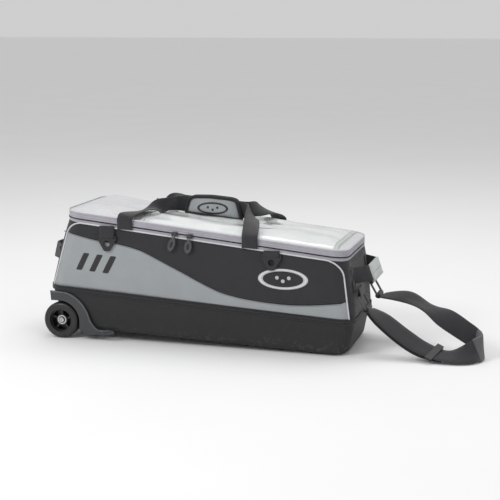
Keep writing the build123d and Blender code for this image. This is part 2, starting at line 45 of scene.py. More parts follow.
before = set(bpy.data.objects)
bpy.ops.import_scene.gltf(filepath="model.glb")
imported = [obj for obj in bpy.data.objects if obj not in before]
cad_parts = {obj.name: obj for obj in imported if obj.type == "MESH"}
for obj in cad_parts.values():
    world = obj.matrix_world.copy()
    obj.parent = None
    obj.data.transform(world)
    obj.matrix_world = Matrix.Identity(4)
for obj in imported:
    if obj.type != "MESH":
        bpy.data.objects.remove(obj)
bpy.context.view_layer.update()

from math import cos, pi, radians, sin, sqrt

import bmesh
import bpy
from mathutils import Vector, noise

MM = 0.001

# --- The bag's own frame: millimetres, x = 0 at the middle of the bag, floor at z = 0
WHEEL_X = -362.0
tyre_low, tyre_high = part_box("front_tyre")
BAG_X = (tyre_low[0] + tyre_high[0]) / 2 - WHEEL_X * MM
HALF = 133.0  # outer face of the side panels
CORNER = 40.0
SEAM = (109.5, -0.0585)  # height at the bag's middle, slope along x
RIM = (259.0, -0.1)
WHEEL_END = (-431.8, 0.294)  # x at the floor, lean along z
PULL_END = (373.6, -0.132)
PANEL_EDGE = 12.0  # the side panels' piping runs this far inside the bag's ends
PANEL_CORNER = 35.0
SWOOSH = [
    (-400, 272), (-342, 264), (-260, 248), (-204, 241), (-153, 229), (-103, 207), (-54, 184), (-4, 160),
    (45, 139), (93, 128), (166, 120), (237, 119), (333, 128), (400, 138),
]
CLIP_X = (-235.0, 170.0)  # wheel side, pull side
CLIP_DROP = (24.0, 9.0)  # from the rim to each plate's pivot
CLIP_Y = 138.8
SIDES = (("front", -1), ("rear", 1))
MIDWAY = 190.0  # a first guess of height, where height and place along x depend on each other
TRIM_DROP = 1.5  # the side panels stop this far under the rim line
ACROSS = Vector((0, 1, 0))


def place(x, y, z):
    return Vector((BAG_X + x * MM, y * MM, z * MM))


def height(line, x):
    return line[0] + line[1] * x


def meet(lean, line):
    return (lean[0] + lean[1] * line[0]) / (1 - lean[1] * line[1])


RIM_ENDS = (meet(WHEEL_END, RIM), meet(PULL_END, RIM))
SEAM_ENDS = (meet(WHEEL_END, SEAM), meet(PULL_END, SEAM))


def shape():
    return bpy.context.scene.bag_shape


def middle_x(low, high):
    """Middle of a node's box along the bag, in millimetres."""
    return ((low[0] + high[0]) / 2 - BAG_X) / MM


def ends_at(z, inset=0.0):
    return WHEEL_END[0] + WHEEL_END[1] * z + inset, PULL_END[0] + PULL_END[1] * z - inset


def lerp(a, b, t):
    return a + (b - a) * t


def clamp(t, low=0.0, high=1.0):
    return max(low, min(high, t))


def smooth(t):
    t = clamp(t)
    return t * t * (3 - 2 * t)


def catmull(points, t):
    """Point at t from 0 to 1 on a smooth curve through the points."""
    spans = len(points) - 1
    i = min(int(t * spans), spans - 1)
    f = t * spans - i
    a, b, c, d = (points[clamp(i + k, 0, spans)] for k in (-1, 0, 1, 2))
    return 0.5 * (2 * b + (c - a) * f + (2 * a - 5 * b + 4 * c - d) * f * f
                  + (3 * b - a - 3 * c + d) * f ** 3)


def swoosh(x):
    """Height of the curve that divides the grey fabric from the black."""
    for i, ((xa, _), (xb, _)) in enumerate(zip(SWOOSH, SWOOSH[1:])):
        if x <= xb:
            t = (i + (x - xa) / (xb - xa)) / (len(SWOOSH) - 1)
            return catmull([Vector((0, z)) for _, z in SWOOSH], clamp(t)).y
    return SWOOSH[-1][1]


def ripple(x, y, z, size, seed=0.0):
    return noise.noise(Vector((x / size + seed, y / size, z / size)))


def wall(x, z, lift, face):
    """Point on the puffed front (face -1) or rear (face 1) panel, lifted off it by that much."""
    left, right = ends_at(z)
    edge = min(x - left, right - x)
    turn = clamp((CORNER - edge) / CORNER)
    normal = (turn * (1 if x > 0 else -1), sqrt(1 - turn * turn))
    y = HALF - CORNER * (1 - normal[1])
    low, high = height(SEAM, x), height(RIM, x)
    v = clamp((z - low) / (high - low))
    puff = shape().bulge * sin(pi * v) ** 0.7 * smooth((edge - PANEL_EDGE) / 70)
    slack = shape().wrinkle * ripple(x, face * 50, z * 1.6, 62) * sin(pi * v)
    puff += slack * smooth((edge - PANEL_EDGE) / 30)
    out = lift + puff
    return place(x + normal[0] * out, face * (y + normal[1] * out), z)


def panel_span(u, z):
    return lerp(*ends_at(z, PANEL_EDGE), u)


def panel_top(x, z):
    """Top edge of a side panel, with its rounded corners."""
    left, right = ends_at(z, PANEL_EDGE)
    d = clamp(min(x - left, right - x), 0, PANEL_CORNER)
    return height(RIM, x) - TRIM_DROP - (PANEL_CORNER - sqrt(PANEL_CORNER ** 2 - (PANEL_CORNER - d) ** 2))


# --- Materials
class Shader:
    """A Principled material that is built node by node."""

    def __init__(self, name):
        self.material = bpy.data.materials.new(name)
        self.material.use_nodes = True
        self.tree = self.material.node_tree
        self.surface = self.tree.nodes["Principled BSDF"]
        self.coords = self.tree.nodes.new("ShaderNodeTexCoord")

    def node(self, kind, **inputs):
        made = self.tree.nodes.new(kind)
        for name, value in inputs.items():
            self.set(made.inputs[name.replace("_", " ")], value)
        return made

    def set(self, socket, value):
        if isinstance(value, bpy.types.NodeSocket):
            self.tree.links.new(value, socket)
        else:
            socket.default_value = value

    def math(self, operation, a, b=0.0, c=0.0):
        made = self.tree.nodes.new("ShaderNodeMath")
        made.operation = operation
        for socket, value in zip(made.inputs, (a, b, c)):
            self.set(socket, value)
        return made.outputs[0]

    def times(self, a, b):
        return self.math("MULTIPLY", a, b)

    def plus(self, a, b):
        return self.math("ADD", a, b)

    def wave(self, along, pitch):
        """Sine of a coordinate, with that many metres to a full turn."""
        return self.math("SINE", self.times(along, 2 * pi / pitch))

    def noise(self, scale, detail=3.0, coords="Object", rough=0.5):
        made = self.node("ShaderNodeTexNoise", Scale=scale, Detail=detail, Roughness=rough)
        self.tree.links.new(self.coords.outputs[coords], made.inputs["Vector"])
        return made.outputs["Fac"]

    def axes(self, coords="Object"):
        split = self.tree.nodes.new("ShaderNodeSeparateXYZ")
        self.tree.links.new(self.coords.outputs[coords], split.inputs[0])
        return split.outputs

    def blend(self, factor, low, high):
        made = self.tree.nodes.new("ShaderNodeMix")
        made.data_type = "RGBA"
        self.set(made.inputs[0], factor)
        for socket, value in ((made.inputs[6], low), (made.inputs[7], high)):
            self.set(socket, value if isinstance(value, bpy.types.NodeSocket) else (*value[:3], 1.0))
        return made.outputs[2]

    def between(self, value, low, high, to_low=0.0, to_high=1.0):
        made = self.tree.nodes.new("ShaderNodeMapRange")
        for socket, number in zip(made.inputs, (value, low, high, to_low, to_high)):
            self.set(socket, number)
        return made.outputs[0]

    def bump(self, level, distance, strength=1.0, under=None):
        made = self.node("ShaderNodeBump", Height=level, Distance=distance, Strength=strength)
        if under is not None:
            self.tree.links.new(under, made.inputs["Normal"])
        return made.outputs["Normal"]

    def finish(self, color, roughness, normal=None, **sockets):
        self.set(self.surface.inputs["Base Color"], color)
        self.set(self.surface.inputs["Roughness"], roughness)
        if normal is not None:
            self.set(self.surface.inputs["Normal"], normal)
        for name, value in sockets.items():
            self.set(self.surface.inputs[name.replace("_", " ")], value)
        return self.material


def shade(color, amount):
    return tuple(clamp(c * amount) for c in tuple(color)[:3])


def woven(name, color, pitch, depth=0.00018, rough=0.8, sheen=0.25, spread=0.14):
    """Plain weave on upright or level cloth: warp and weft from the object's own coordinates."""
    s = Shader(name)
    x, y, z = s.axes()[:3]
    weave = s.times(s.wave(s.plus(x, y), pitch), s.wave(s.math("SUBTRACT", z, s.times(y, 0.31)), pitch))
    broad = s.noise(26.0, 4.0)
    fine = s.noise(420.0, 2.0)
    tone = s.plus(s.between(weave, -1, 1, -0.25, 0.25), s.plus(broad, s.times(fine, 0.5)))
    tone = s.between(tone, 0.35, 1.15)
    base = s.blend(tone, shade(color, 1 - spread), shade(color, 1 + spread))
    normal = s.bump(weave, depth, 0.55, s.bump(broad, 0.0012, 0.35))
    return s.finish(base, s.between(fine, 0.3, 0.7, rough - 0.08, rough + 0.08), normal,
                    Sheen_Weight=sheen, Sheen_Roughness=0.45, Specular_IOR_Level=0.35)


def ribbed(name, color, pitch=0.0021, rough=0.72):
    """Ribbed webbing: the piece's UV runs across and along it, in metres."""
    s = Shader(name)
    u, v = s.axes("UV")[:2]
    rib = s.wave(v, pitch)
    grain = s.wave(u, pitch * 0.75)
    edge = s.math("ABSOLUTE", s.wave(u, 0.025))
    level = s.plus(s.times(rib, 0.7), s.times(s.times(grain, rib), 0.3))
    broad = s.noise(34.0, 3.0)
    tone = s.between(s.plus(s.times(level, 0.22), broad), 0.2, 0.85)
    base = s.blend(tone, shade(color, 0.7), shade(color, 1.4))
    normal = s.bump(level, 0.0004, 0.8, s.bump(edge, 0.0003, 0.3))
    return s.finish(base, s.between(broad, 0.3, 0.7, rough - 0.1, rough + 0.1), normal,
                    Sheen_Weight=0.3, Sheen_Roughness=0.4, Specular_IOR_Level=0.4)


def moulded(name, color, grain=900.0, depth=0.00012, rough=0.5, scuff=0.0, coat=0.0, spread=0.12):
    """Moulded plastic or rubber with a fine grain, and scuffs near the floor where it has them."""
    s = Shader(name)
    z = s.axes()[2]
    fine = s.noise(grain, 2.0)
    broad = s.noise(18.0, 4.0)
    scratch = s.noise(120.0, 6.0, rough=0.75)
    base = s.blend(s.between(broad, 0.3, 0.75), shade(color, 1 - spread), shade(color, 1 + spread))
    if scuff:
        low = s.between(z, 0.005, 0.05, 1.0, 0.0)
        worn = s.times(s.times(low, s.between(scratch, 0.52, 0.7)), scuff)
        base = s.blend(worn, base, (0.16, 0.155, 0.15))
    normal = s.bump(fine, depth, 0.5)
    return s.finish(base, s.between(scratch, 0.3, 0.7, rough - 0.07, rough + 0.09), normal,
                    Coat_Weight=coat, Coat_Roughness=0.25)


def metal(name, color, rough=0.3, brushed=0.0, spread=0.1):
    s = Shader(name)
    smudge = s.noise(60.0, 4.0)
    fine = s.noise(1400.0, 2.0)
    base = s.blend(s.between(smudge, 0.3, 0.7), shade(color, 1 - spread), shade(color, 1 + spread))
    return s.finish(base, s.between(smudge, 0.3, 0.7, rough - 0.06, rough + 0.1),
                    s.bump(fine, 0.00005, 0.3 + brushed), Metallic=1.0)


def vinyl(name, color, mesh_pitch=0.0, rough=0.16, coat=0.6):
    """Glossy film with soft creases; over a backing scrim where it has a mesh pitch."""
    s = Shader(name)
    broad = s.noise(14.0, 5.0)
    crease = s.noise(48.0, 6.0, rough=0.62)
    base = s.blend(s.between(broad, 0.3, 0.7), shade(color, 0.93), shade(color, 1.04))
    normal = s.bump(crease, 0.0016, 0.4, s.bump(broad, 0.006, 0.4))
    if mesh_pitch:
        x, y = s.axes()[:2]
        warp, weft = (s.math("ABSOLUTE", s.wave(along, 2 * mesh_pitch)) for along in (x, y))
        scrim = s.between(s.math("MINIMUM", warp, weft), 0.0, 0.25)
        base = s.blend(scrim, shade(color, 0.84), base)
    return s.finish(base, s.between(crease, 0.3, 0.7, rough - 0.05, rough + 0.12), normal,
                    Coat_Weight=coat, Coat_Roughness=0.08, Subsurface_Weight=0.12, Subsurface_Scale=0.004)


PALETTE = {}


def make_palette():
    c = bpy.context.scene.bag_colours
    PALETTE.update(
        grey_fabric=woven("grey_coated_fabric", c.grey_fabric, 0.0011, 0.0001, rough=0.62, sheen=0.15,
                          spread=0.07),
        black_fabric=woven("black_ballistic_fabric", c.black_fabric, 0.0016),
        lining=woven("lining_fabric", c.black_fabric, 0.002, rough=0.9),
        zip_tape=woven("zip_tape_weave", c.zip_tape, 0.0013, 0.00015, rough=0.7),
        binding=woven("binding_tape", c.binding, 0.0012, 0.0002, rough=0.75),
        sleeve=woven("light_sleeve_fabric", c.light_sleeve, 0.0014, 0.00016, rough=0.7, spread=0.08),
        grip=woven("grip_fabric", c.grip, 0.0018, 0.0003, rough=0.8),
        webbing=ribbed("black_webbing", c.webbing),
        piping=moulded("vinyl_piping", c.piping, 700.0, 0.00005, rough=0.35, coat=0.2, spread=0.05),
        tub=moulded("moulded_tub", c.tub, 1100.0, 0.00022, rough=0.62, scuff=0.5),
        housing=moulded("wheel_housing_plastic", c.housing, 1500.0, 0.00005, rough=0.38, scuff=0.35,
                        coat=0.15),
        # Painted highlight: the fender bead's plastic is the housing colour made 3.2 times lighter, standing
        # in for the light caught along its raised lip.
        fender_edge=moulded("fender_bead_painted_highlight_plastic", shade(c.housing, 3.2), 1500.0, 0.00004, rough=0.3,
                            coat=0.3),
        tyre=moulded("urethane_tyre", c.tyre, 500.0, 0.00008, rough=0.42, scuff=0.25),
        hub=moulded("nylon_hub", c.hub, 1300.0, 0.00005, rough=0.34),
        buckle=moulded("acetal_buckle", c.buckle, 1200.0, 0.00006, rough=0.4),
        foot=moulded("rubber_foot", c.buckle, 600.0, 0.0002, rough=0.75, scuff=0.4),
        board=moulded("hollow_board", (0.06, 0.06, 0.062), 500.0, 0.0003, rough=0.6),
        print=moulded("screen_print", c.print, 900.0, 0.00008, rough=0.5, spread=0.1),
        badge=moulded("pale_badge_line", c.badge, 900.0, 0.0001, rough=0.4, spread=0.05),
        badge_rim=moulded("badge_rim", c.badge_rim, 900.0, 0.0001, rough=0.45, spread=0.06),
        badge_face=moulded("badge_face", c.badge_face, 900.0, 0.0001, rough=0.45),
        steel=metal("ground_steel", (0.62, 0.62, 0.63), rough=0.24),
        zinc=metal("zinc_plate", (0.5, 0.46, 0.42), rough=0.3),
        dark_metal=metal("dark_zinc", (0.11, 0.11, 0.115), rough=0.32),
        thread=woven("light_thread", c.thread, 0.0006, 0.00005, rough=0.6),
        dark_thread=woven("dark_thread", c.dark_thread, 0.0006, 0.00005, rough=0.6),
        window=vinyl("clear_vinyl_window", c.window, rough=0.1, coat=0.9),
        cover=vinyl("frosted_vinyl_cover", c.cover, 0.0026, rough=0.3, coat=0.25),
    )


# --- Shapes
def settle(obj, body, slot, nodes=()):
    """Puts a piece in the scene, on its body, in place of any CAD nodes it stands for; its slot is not used.
    """
    bpy.context.scene.collection.objects.link(obj)
    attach(obj, body)
    if nodes:
        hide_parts(*nodes)
    return obj


def new_piece(name, points, faces, material, body, slot, nodes=(), uvs=None):
    """Smooth mesh at the origin, in a material of the palette."""
    mesh = bpy.data.meshes.new(name)
    mesh.from_pydata([tuple(p) for p in points], [], faces)
    if uvs is not None:
        layer = mesh.uv_layers.new(name="UVMap")
        for loop in mesh.loops:
            layer.data[loop.index].uv = uvs[loop.vertex_index]
    mesh.polygons.foreach_set("use_smooth", [True] * len(mesh.polygons))
    mesh.materials.append(PALETTE[material])
    return settle(bpy.data.objects.new(name, mesh), body, slot, nodes)


def solid(obj, thickness, inside=None):
    """Gives a surface its thickness inwards, in millimetres, and a lining where one is named."""
    shell = obj.modifiers.new("Thickness", "SOLIDIFY")
    if inside:
        obj.data.materials.append(PALETTE[inside])
        shell.material_offset = 1
    shell.thickness = thickness * MM
    shell.offset = -1.0
    shell.use_even_offset = False


def grid_faces(columns, rows, flip=False, wrap=False):
    """Quads of a grid whose points run row by row within each column."""
    faces = []
    for i in range(columns if wrap else columns - 1):
        for j in range(rows - 1):
            k = (i + 1) % columns
            quad = (i * rows + j, k * rows + j, k * rows + j + 1, i * rows + j + 1)
            faces.append(quad[::-1] if flip else quad)
    return faces


def sweep(sections, closed=False):
    """Points and faces of a tube through equal closed sections, capped unless it is closed."""
    size = len(sections[0])
    points = [p for section in sections for p in section]
    faces = []
    count = len(sections)
    for i in range(count if closed else count - 1):
        for j in range(size):
            a, b = i * size, ((i + 1) % count) * size
            k = (j + 1) % size
            faces.append((a + j, b + j, b + k, a + k))
    if not closed:
        faces.append(tuple(range(size)))
        faces.append(tuple(range((count - 1) * size, count * size))[::-1])
    return points, faces


def fix_normals(obj):
    """Turns every face of a closed piece outwards."""
    mesh = bmesh.new()
    mesh.from_mesh(obj.data)
    bmesh.ops.recalc_face_normals(mesh, faces=mesh.faces)
    mesh.to_mesh(obj.data)
    mesh.free()
    return obj


def swept(name, sections, material, body, slot, nodes=(), uvs=None, closed=False):
    return fix_normals(new_piece(name, *sweep(sections, closed), material, body, slot, nodes, uvs))


def tube(name, path, radius, material, body, slot, nodes=(), sides=10, closed=False, flat=1.0, up=None):
    """Round cord along a path of points in metres; flat squeezes it along its second axis."""
    sections = []
    count = len(path)
    for i, p in enumerate(path):
        ahead = path[(i + 1) % count] if closed or i < count - 1 else p
        behind = path[i - 1] if closed or i else p
        tangent = (ahead - behind).normalized()
        side = tangent.cross(up or Vector((0, 0, 1)))
        if side.length < 0.2:
            side = tangent.cross(ACROSS)
        side.normalize()
        other = side.cross(tangent)
        sections.append([
            p + (side * cos(2 * pi * k / sides) + other * sin(2 * pi * k / sides) * flat) * radius * MM
            for k in range(sides)
        ])
    return swept(name, sections, material, body, slot, nodes, closed=closed)


def ribbon(name, stations, width, thickness, material="webbing", body="bag", slot="webbing", nodes=(),
           samples=90, round_off=0.35):
    """Webbing through (point, direction across) stations, smooth between them."""
    centres = [place(*p) for p, _ in stations]
    crosses = [Vector(c).normalized() for _, c in stations]
    sections, uvs, run, last = [], [], 0.0, None
    half, thick = width * MM / 2, thickness * MM / 2
    profile = [(-1, -round_off), (-0.96, -1), (-0.5, -1), (0, -1), (0.5, -1), (0.96, -1), (1, -round_off),
               (1, round_off), (0.96, 1), (0.5, 1), (0, 1), (-0.5, 1), (-0.96, 1), (-1, round_off)]
    for i in range(samples + 1):
        t = i / samples
        p = catmull(centres, t)
        step = 0.5 / samples
        tangent = (catmull(centres, min(1, t + step)) - catmull(centres, max(0, t - step))).normalized()
        across = catmull(crosses, t)
        across = (across - tangent * across.dot(tangent)).normalized()
        normal = tangent.cross(across)
        run += (p - last).length if last else 0.0
        last = p
        sections.append([p + across * half * a + normal * thick * b for a, b in profile])
        uvs += [(half * (a + 1), run) for a, b in profile]
    return swept(name, sections, material, body, slot, nodes, uvs)


def rounded(outline, radius, steps=5):
    """Rounds the corners of a closed outline of (x, z) points."""
    result = []
    count = len(outline)
    for i in range(count):
        a, b, c = (Vector(outline[(i + k) % count]) for k in (-1, 0, 1))
        cut = min(radius, (a - b).length * 0.48, (c - b).length * 0.48)
        start, stop = b + (a - b).normalized() * cut, b + (c - b).normalized() * cut
        for k in range(steps + 1):
            t = k / steps
            result.append(tuple(start * (1 - t) ** 2 + b * 2 * t * (1 - t) + stop * t * t))
    return result


def ellipse(x, z, a, b, count=48):
    return [(x + a * cos(2 * pi * k / count), z + b * sin(2 * pi * k / count)) for k in range(count)]


def pillow(name, outline, high, low, material, body, slot, on, nodes=(), rings=6, fullness=4.0):
    """Closed pad with that outline; on(x, z, lift) places its points, high and low are its faces' lifts."""
    points, faces, count = [], [], len(outline)
    cx, cz = (sum(p[k] for p in outline) / count for k in (0, 1))
    scales = [1 - (k / rings) ** 1.5 for k in range(rings)]
    for face, lift in ((1, high), (-1, low)):
        middle = (high + low) / 2
        for k, s in enumerate(scales):
            level = lerp(middle, lift, (1 - s ** fullness) ** 0.5 if k else 0.0)
            if k or face == 1:
                points += [on(cx + (x - cx) * s, cz + (z - cz) * s, level) for x, z in outline]
        points.append(on(cx, cz, lift))
    back = (rings - 1) * count + 1  # the back shares the outline's points, so its rings start one lower
    for face, shift in ((1, 0), (-1, back)):
        def ring(k, shift=shift):
            return k * count + shift if k else 0
        for k in range(rings - 1):
            for i in range(count):
                j = (i + 1) % count
                quad = (ring(k) + i, ring(k) + j, ring(k + 1) + j, ring(k + 1) + i)
                faces.append(quad if face == 1 else quad[::-1])
        tip = ring(rings)
        for i in range(count):
            j = (i + 1) % count
            tri = (ring(rings - 1) + i, ring(rings - 1) + j, tip)
            faces.append(tri if face == 1 else tri[::-1])
    return fix_normals(new_piece(name, points, faces, material, body, slot, nodes))


def rim_loop(line, ends, steps=12, run=34):
    """Rounded plan loop on a sloping line: (x, y, z, outward x, outward y) in millimetres."""
    left, right = ends[0] + CORNER, ends[1] - CORNER
    side = HALF - CORNER
    loop = []
    corners = ((right, -side, -90), (right, side, 0), (left, side, 90), (left, -side, 180))
    for i, (x, y, start) in enumerate(corners):
        for k in range(steps + 1):
            a = radians(start + 90 * k / steps)
            loop.append((x + CORNER * cos(a), y + CORNER * sin(a), cos(a), sin(a)))
        nx, ny, _ = corners[(i + 1) % 4]
        a = radians(start + 90)
        ax, ay = x + CORNER * cos(a), y + CORNER * sin(a)
        bx, by = nx + CORNER * cos(a), ny + CORNER * sin(a)
        count = run if i % 2 else run // 3
        for k in range(1, count):
            loop.append((lerp(ax, bx, k / count), lerp(ay, by, k / count), cos(a), sin(a)))
    return [(x, y, height(line, x), u, v) for x, y, u, v in loop]


def loop_band(name, loop, profile, material, body, slot, nodes=(), waver=0.0):
    """Band that follows a rim loop; its closed profile is (outward, upward) millimetres."""
    sections = []
    for x, y, z, u, v in loop:
        shift = waver * ripple(x, y, z, 90)
        sections.append([place(x + u * (o + shift), y + v * (o + shift), z + h + shift * 0.6)
                         for o, h in profile])
    return swept(name, sections, material, body, slot, nodes, closed=True)


def evaluated_mesh(obj):
    return bpy.data.meshes.new_from_object(obj.evaluated_get(bpy.context.evaluated_depsgraph_get()))


def plump(obj, voxel, cap, pressure=4.0):
    """Swells a padded piece with a short cloth simulation, no point moving more than cap millimetres."""
    remesh = obj.modifiers.new("Even Mesh", "REMESH")
    remesh.mode, remesh.voxel_size = "VOXEL", voxel * MM
    start = evaluated_mesh(obj)
    obj.modifiers.clear()
    trial = bpy.data.objects.new(obj.name + "_trial", start)
    bpy.context.scene.collection.objects.link(trial)
    cloth = trial.modifiers.new("Cloth", "CLOTH")
    cloth.settings.use_pressure = True
    cloth.settings.uniform_pressure_force = pressure
    cloth.settings.effector_weights.gravity = 0
    for frame_number in range(1, 21):
        bpy.context.scene.frame_set(frame_number)
    swollen = evaluated_mesh(trial)
    bpy.context.scene.frame_set(1)
    for before, after in zip(start.vertices, swollen.vertices):
        move = after.co - before.co
        if move.length > cap * MM:
            after.co = before.co + move.normalized() * cap * MM
    bpy.data.objects.remove(trial)
    material = obj.data.materials[0]
    obj.data = swollen
    obj.data.materials.clear()
    obj.data.materials.append(material)
    swollen.polygons.foreach_set("use_smooth", [True] * len(swollen.polygons))
    finer = obj.modifiers.new("Finer", "SUBSURF")
    finer.levels = finer.render_levels = 1
    return obj


def front_of(obj, fallback):
    """Function that gives the y, in millimetres, of a piece's front skin at x and z."""
    bpy.context.view_layer.update()

    def skin(x, z):
        hit, spot, *_ = obj.ray_cast(place(x, -300, z), ACROSS)
        return spot.y / MM if hit else fallback
    return skin


def patch(name, path_points, lift_of, width, thickness=0.9):
    """Flat strip of webbing sewn along points of an end, laid on its skin."""
    sections = []
    for k, (a, b) in enumerate(path_points):
        near = path_points[min(k + 1, len(path_points) - 1)]
        far = path_points[max(k - 1, 0)]
        run = Vector((near[0] - far[0], near[1] - far[1])).normalized()
        across = Vector((-run.y, run.x)) * width / 2
        sections.append([lift_of(a + across.x * u, b + across.y * u, h)
                         for u, h in ((-1, 0), (-0.92, thickness), (0, thickness), (0.92, thickness), (1, 0),
                                      (0, -0.6))])
    return swept(name, sections, "webbing", "bag", "webbing")


def flat_ring(name, outer, inner, high, material, body, slot, on, nodes=(), low=-0.3):
    """Flat raised ring between two outlines with equal numbers of points."""
    sections = []
    for (ox, oz), (ix, iz) in zip(outer, inner):
        sections.append([on(lerp(ox, ix, t), lerp(oz, iz, t), h)
                         for t, h in ((0, low), (0, high * 0.6), (0.08, high), (0.5, high + 0.25),
                                      (0.92, high), (1, high * 0.6), (1, low))])
    return swept(name, sections, material, body, slot, nodes, closed=True)


# --- Repeats: stitches and zip teeth along curves
def repeat_tree():
    """Node tree that sets small six-sided studs along every spline of a curve."""
    tree = bpy.data.node_groups.new("Studs Along Curves", "GeometryNodeTree")
    for name, kind in (("Geometry", "Geometry"), ("Spacing", "Float"), ("Size", "Vector"),
                       ("Material", "Material")):
        tree.interface.new_socket(name, in_out="INPUT", socket_type="NodeSocket" + kind)
    tree.interface.new_socket("Geometry", in_out="OUTPUT", socket_type="NodeSocketGeometry")
    given, result, points, stud, size, copies, real, coat = (tree.nodes.new(kind) for kind in (
        "NodeGroupInput", "NodeGroupOutput", "GeometryNodeCurveToPoints", "GeometryNodeMeshCylinder",
        "GeometryNodeTransform", "GeometryNodeInstanceOnPoints", "GeometryNodeRealizeInstances",
        "GeometryNodeSetMaterial"))
    points.mode = "LENGTH"
    for name, value in (("Vertices", 6), ("Radius", 0.5), ("Depth", 1.0)):
        stud.inputs[name].default_value = value
    for source, output, target, socket in (
            (given, "Geometry", points, "Curve"), (given, "Spacing", points, "Length"),
            (stud, "Mesh", size, "Geometry"), (given, "Size", size, "Scale"),
            (points, "Points", copies, "Points"), (points, "Rotation", copies, "Rotation"),
            (size, "Geometry", copies, "Instance"), (copies, "Instances", real, "Geometry"),
            (real, "Geometry", coat, "Geometry"), (given, "Material", coat, "Material"),
            (coat, "Geometry", result, "Geometry")):
        tree.links.new(source.outputs[output], target.inputs[socket])
    return tree


def studs(name, paths, spacing, size, material, body, slot, closed=False):
    """Stitches or teeth along paths of points, as one plain mesh."""
    tree = bpy.data.node_groups.get("Studs Along Curves") or repeat_tree()
    curve = bpy.data.curves.new(name + "_path", "CURVE")
    curve.dimensions = "3D"
    for path in paths:
        spline = curve.splines.new("POLY")
        spline.points.add(len(path) - 1)
        spline.use_cyclic_u = closed
        for point, p in zip(spline.points, path):
            point.co = (*p, 1)
    guide = bpy.data.objects.new(name + "_guide", curve)
    bpy.context.scene.collection.objects.link(guide)
    modifier = guide.modifiers.new("Studs", "NODES")
    modifier.node_group = tree
    values = {"Spacing": spacing * MM, "Size": [s * MM for s in size], "Material": PALETTE[material]}
    for item in tree.interface.items_tree:
        if item.in_out == "INPUT" and item.name in values:
            modifier[item.identifier] = values[item.name]
    mesh = evaluated_mesh(guide)
    mesh.name = name
    bpy.data.objects.remove(guide)
    if not len(mesh.polygons):
        raise RuntimeError(f"{name} came out empty")
    if not mesh.materials:
        mesh.materials.append(PALETTE[material])
    return settle(bpy.data.objects.new(name, mesh), body, slot)


def paint(material, *nodes):
    """Gives CAD nodes that keep their shape a finish."""
    for name in nodes:
        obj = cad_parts[name]
        obj.data.materials.clear()
        obj.data.materials.append(PALETTE[material])


# --- Settings
def colour(name, description, default):
    return bpy.props.FloatVectorProperty(name=name, description=description, default=default, size=3,
                                         subtype="COLOR", min=0.0, max=1.0)


def amount(name, description, default):
    return bpy.props.FloatProperty(name=name, description=description + ", mm", default=default)


class BagShape(bpy.types.PropertyGroup):
    bulge: amount("Bulge", "How far the padded sides swell", 2.6)
    wrinkle: amount("Wrinkle", "Depth of the slack in the sides", 1.5)
    crown: amount("Crown", "Rise of the cover above its skirt", 13.0)
    crown_inset: amount("Crown inset", "Width of the cover's slope", 62.0)
    cover_slack: amount("Cover slack", "Waves in the vinyl", 2.6)
    stitch: amount("Stitch", "Stitch length", 3.2)


class BagColours(bpy.types.PropertyGroup):
    grey_fabric: colour("Grey fabric", "Side panels", (0.30, 0.32, 0.33))
    black_fabric: colour("Black fabric", "Side and end panels", (0.026, 0.026, 0.030))
    zip_tape: colour("Zip tape", "Band round the rim", (0.37, 0.355, 0.40))
    binding: colour("Binding", "Bias tape", (0.014, 0.014, 0.016))
    light_sleeve: colour("Light sleeve", "Pull-end grab sleeve", (0.50, 0.53, 0.51))
    grip: colour("Grip", "Pull strap grip", (0.085, 0.085, 0.092))
    webbing: colour("Webbing", "Handles and straps", (0.024, 0.024, 0.027))
    piping: colour("Piping", "Side panel piping", (0.55, 0.55, 0.57))
    tub: colour("Tub", "Lower tub", (0.011, 0.011, 0.012))
    housing: colour("Housing", "Wheel housings", (0.032, 0.034, 0.038))
    tyre: colour("Tyre", "Wheel tread", (0.014, 0.014, 0.015))
    hub: colour("Hub", "Wheel hub", (0.008, 0.008, 0.009))
    buckle: colour("Buckle", "Plates and slide", (0.012, 0.012, 0.014))
    print: colour("Print", "Stripes", (0.016, 0.016, 0.02))
    badge: colour("Badge line", "Pale line on the badge", (0.70, 0.70, 0.72))
    badge_rim: colour("Badge rim", "Raised ring of the badge", (0.46, 0.46, 0.48))
    badge_face: colour("Emblem", "Lines of the wrap's emblem", (0.02, 0.02, 0.023))
    thread: colour("Thread", "Light stitches", (0.42, 0.43, 0.44))
    dark_thread: colour("Dark thread", "Dark stitches", (0.07, 0.07, 0.075))
    window: colour("Window", "Clear vinyl over the balls", (0.74, 0.75, 0.75))
    cover: colour("Cover", "Frosted ends of the cover", (0.62, 0.62, 0.635))


# --- Hard parts, which keep their CAD shape
class BAG_OT_hard_parts(bpy.types.Operator):
    """Finish the tub, wheels, axles, rings and buckles"""
    bl_idname = "bag.hard_parts"
    bl_label = "Hard Parts"

    def execute(self, context):
        for material, nodes in (("tub", "lower_tub"), ("board", "base_board"), ("foot", "skid_feet"),
                                ("housing", "wheel_housing_front wheel_housing_rear"),
                                ("zinc", "axle_bolts axle_nuts"), ("buckle", "strap_slide"),
                                ("dark_metal", "pull_rings zip_slider_wheel_side zip_slider_pull_side")):
            paint(material, *nodes.split())
        curve = [Vector(p) for p in ((-384, 115), (-345, 113.5), (-313, 96), (-293, 69), (-283, 44),
                                     (-264, 26), (-232, 27))]
        for side, face in SIDES:
            paint("tyre", f"{side}_tyre")
            paint("hub", f"{side}_hub")
            paint("steel", f"{side}_bearing_shells", f"{side}_axle_spacers")
            paint("dark_metal", f"{side}_bearing_cores")
            paint("buckle", f"clip_plate_{side}_wheel_side", f"clip_plate_{side}_pull_side")
            edge = [place(p.x, face * (HALF + 3.3), p.y) for p in (catmull(curve, k / 70) for k in range(71))]
            # The bead gets the lighter fender plastic, a painted highlight along the raised lip.
            tube(f"{side}_fender_bead", edge, 1.3, "fender_edge", "bag", "housing", sides=8, up=ACROSS)
        return {"FINISHED"}


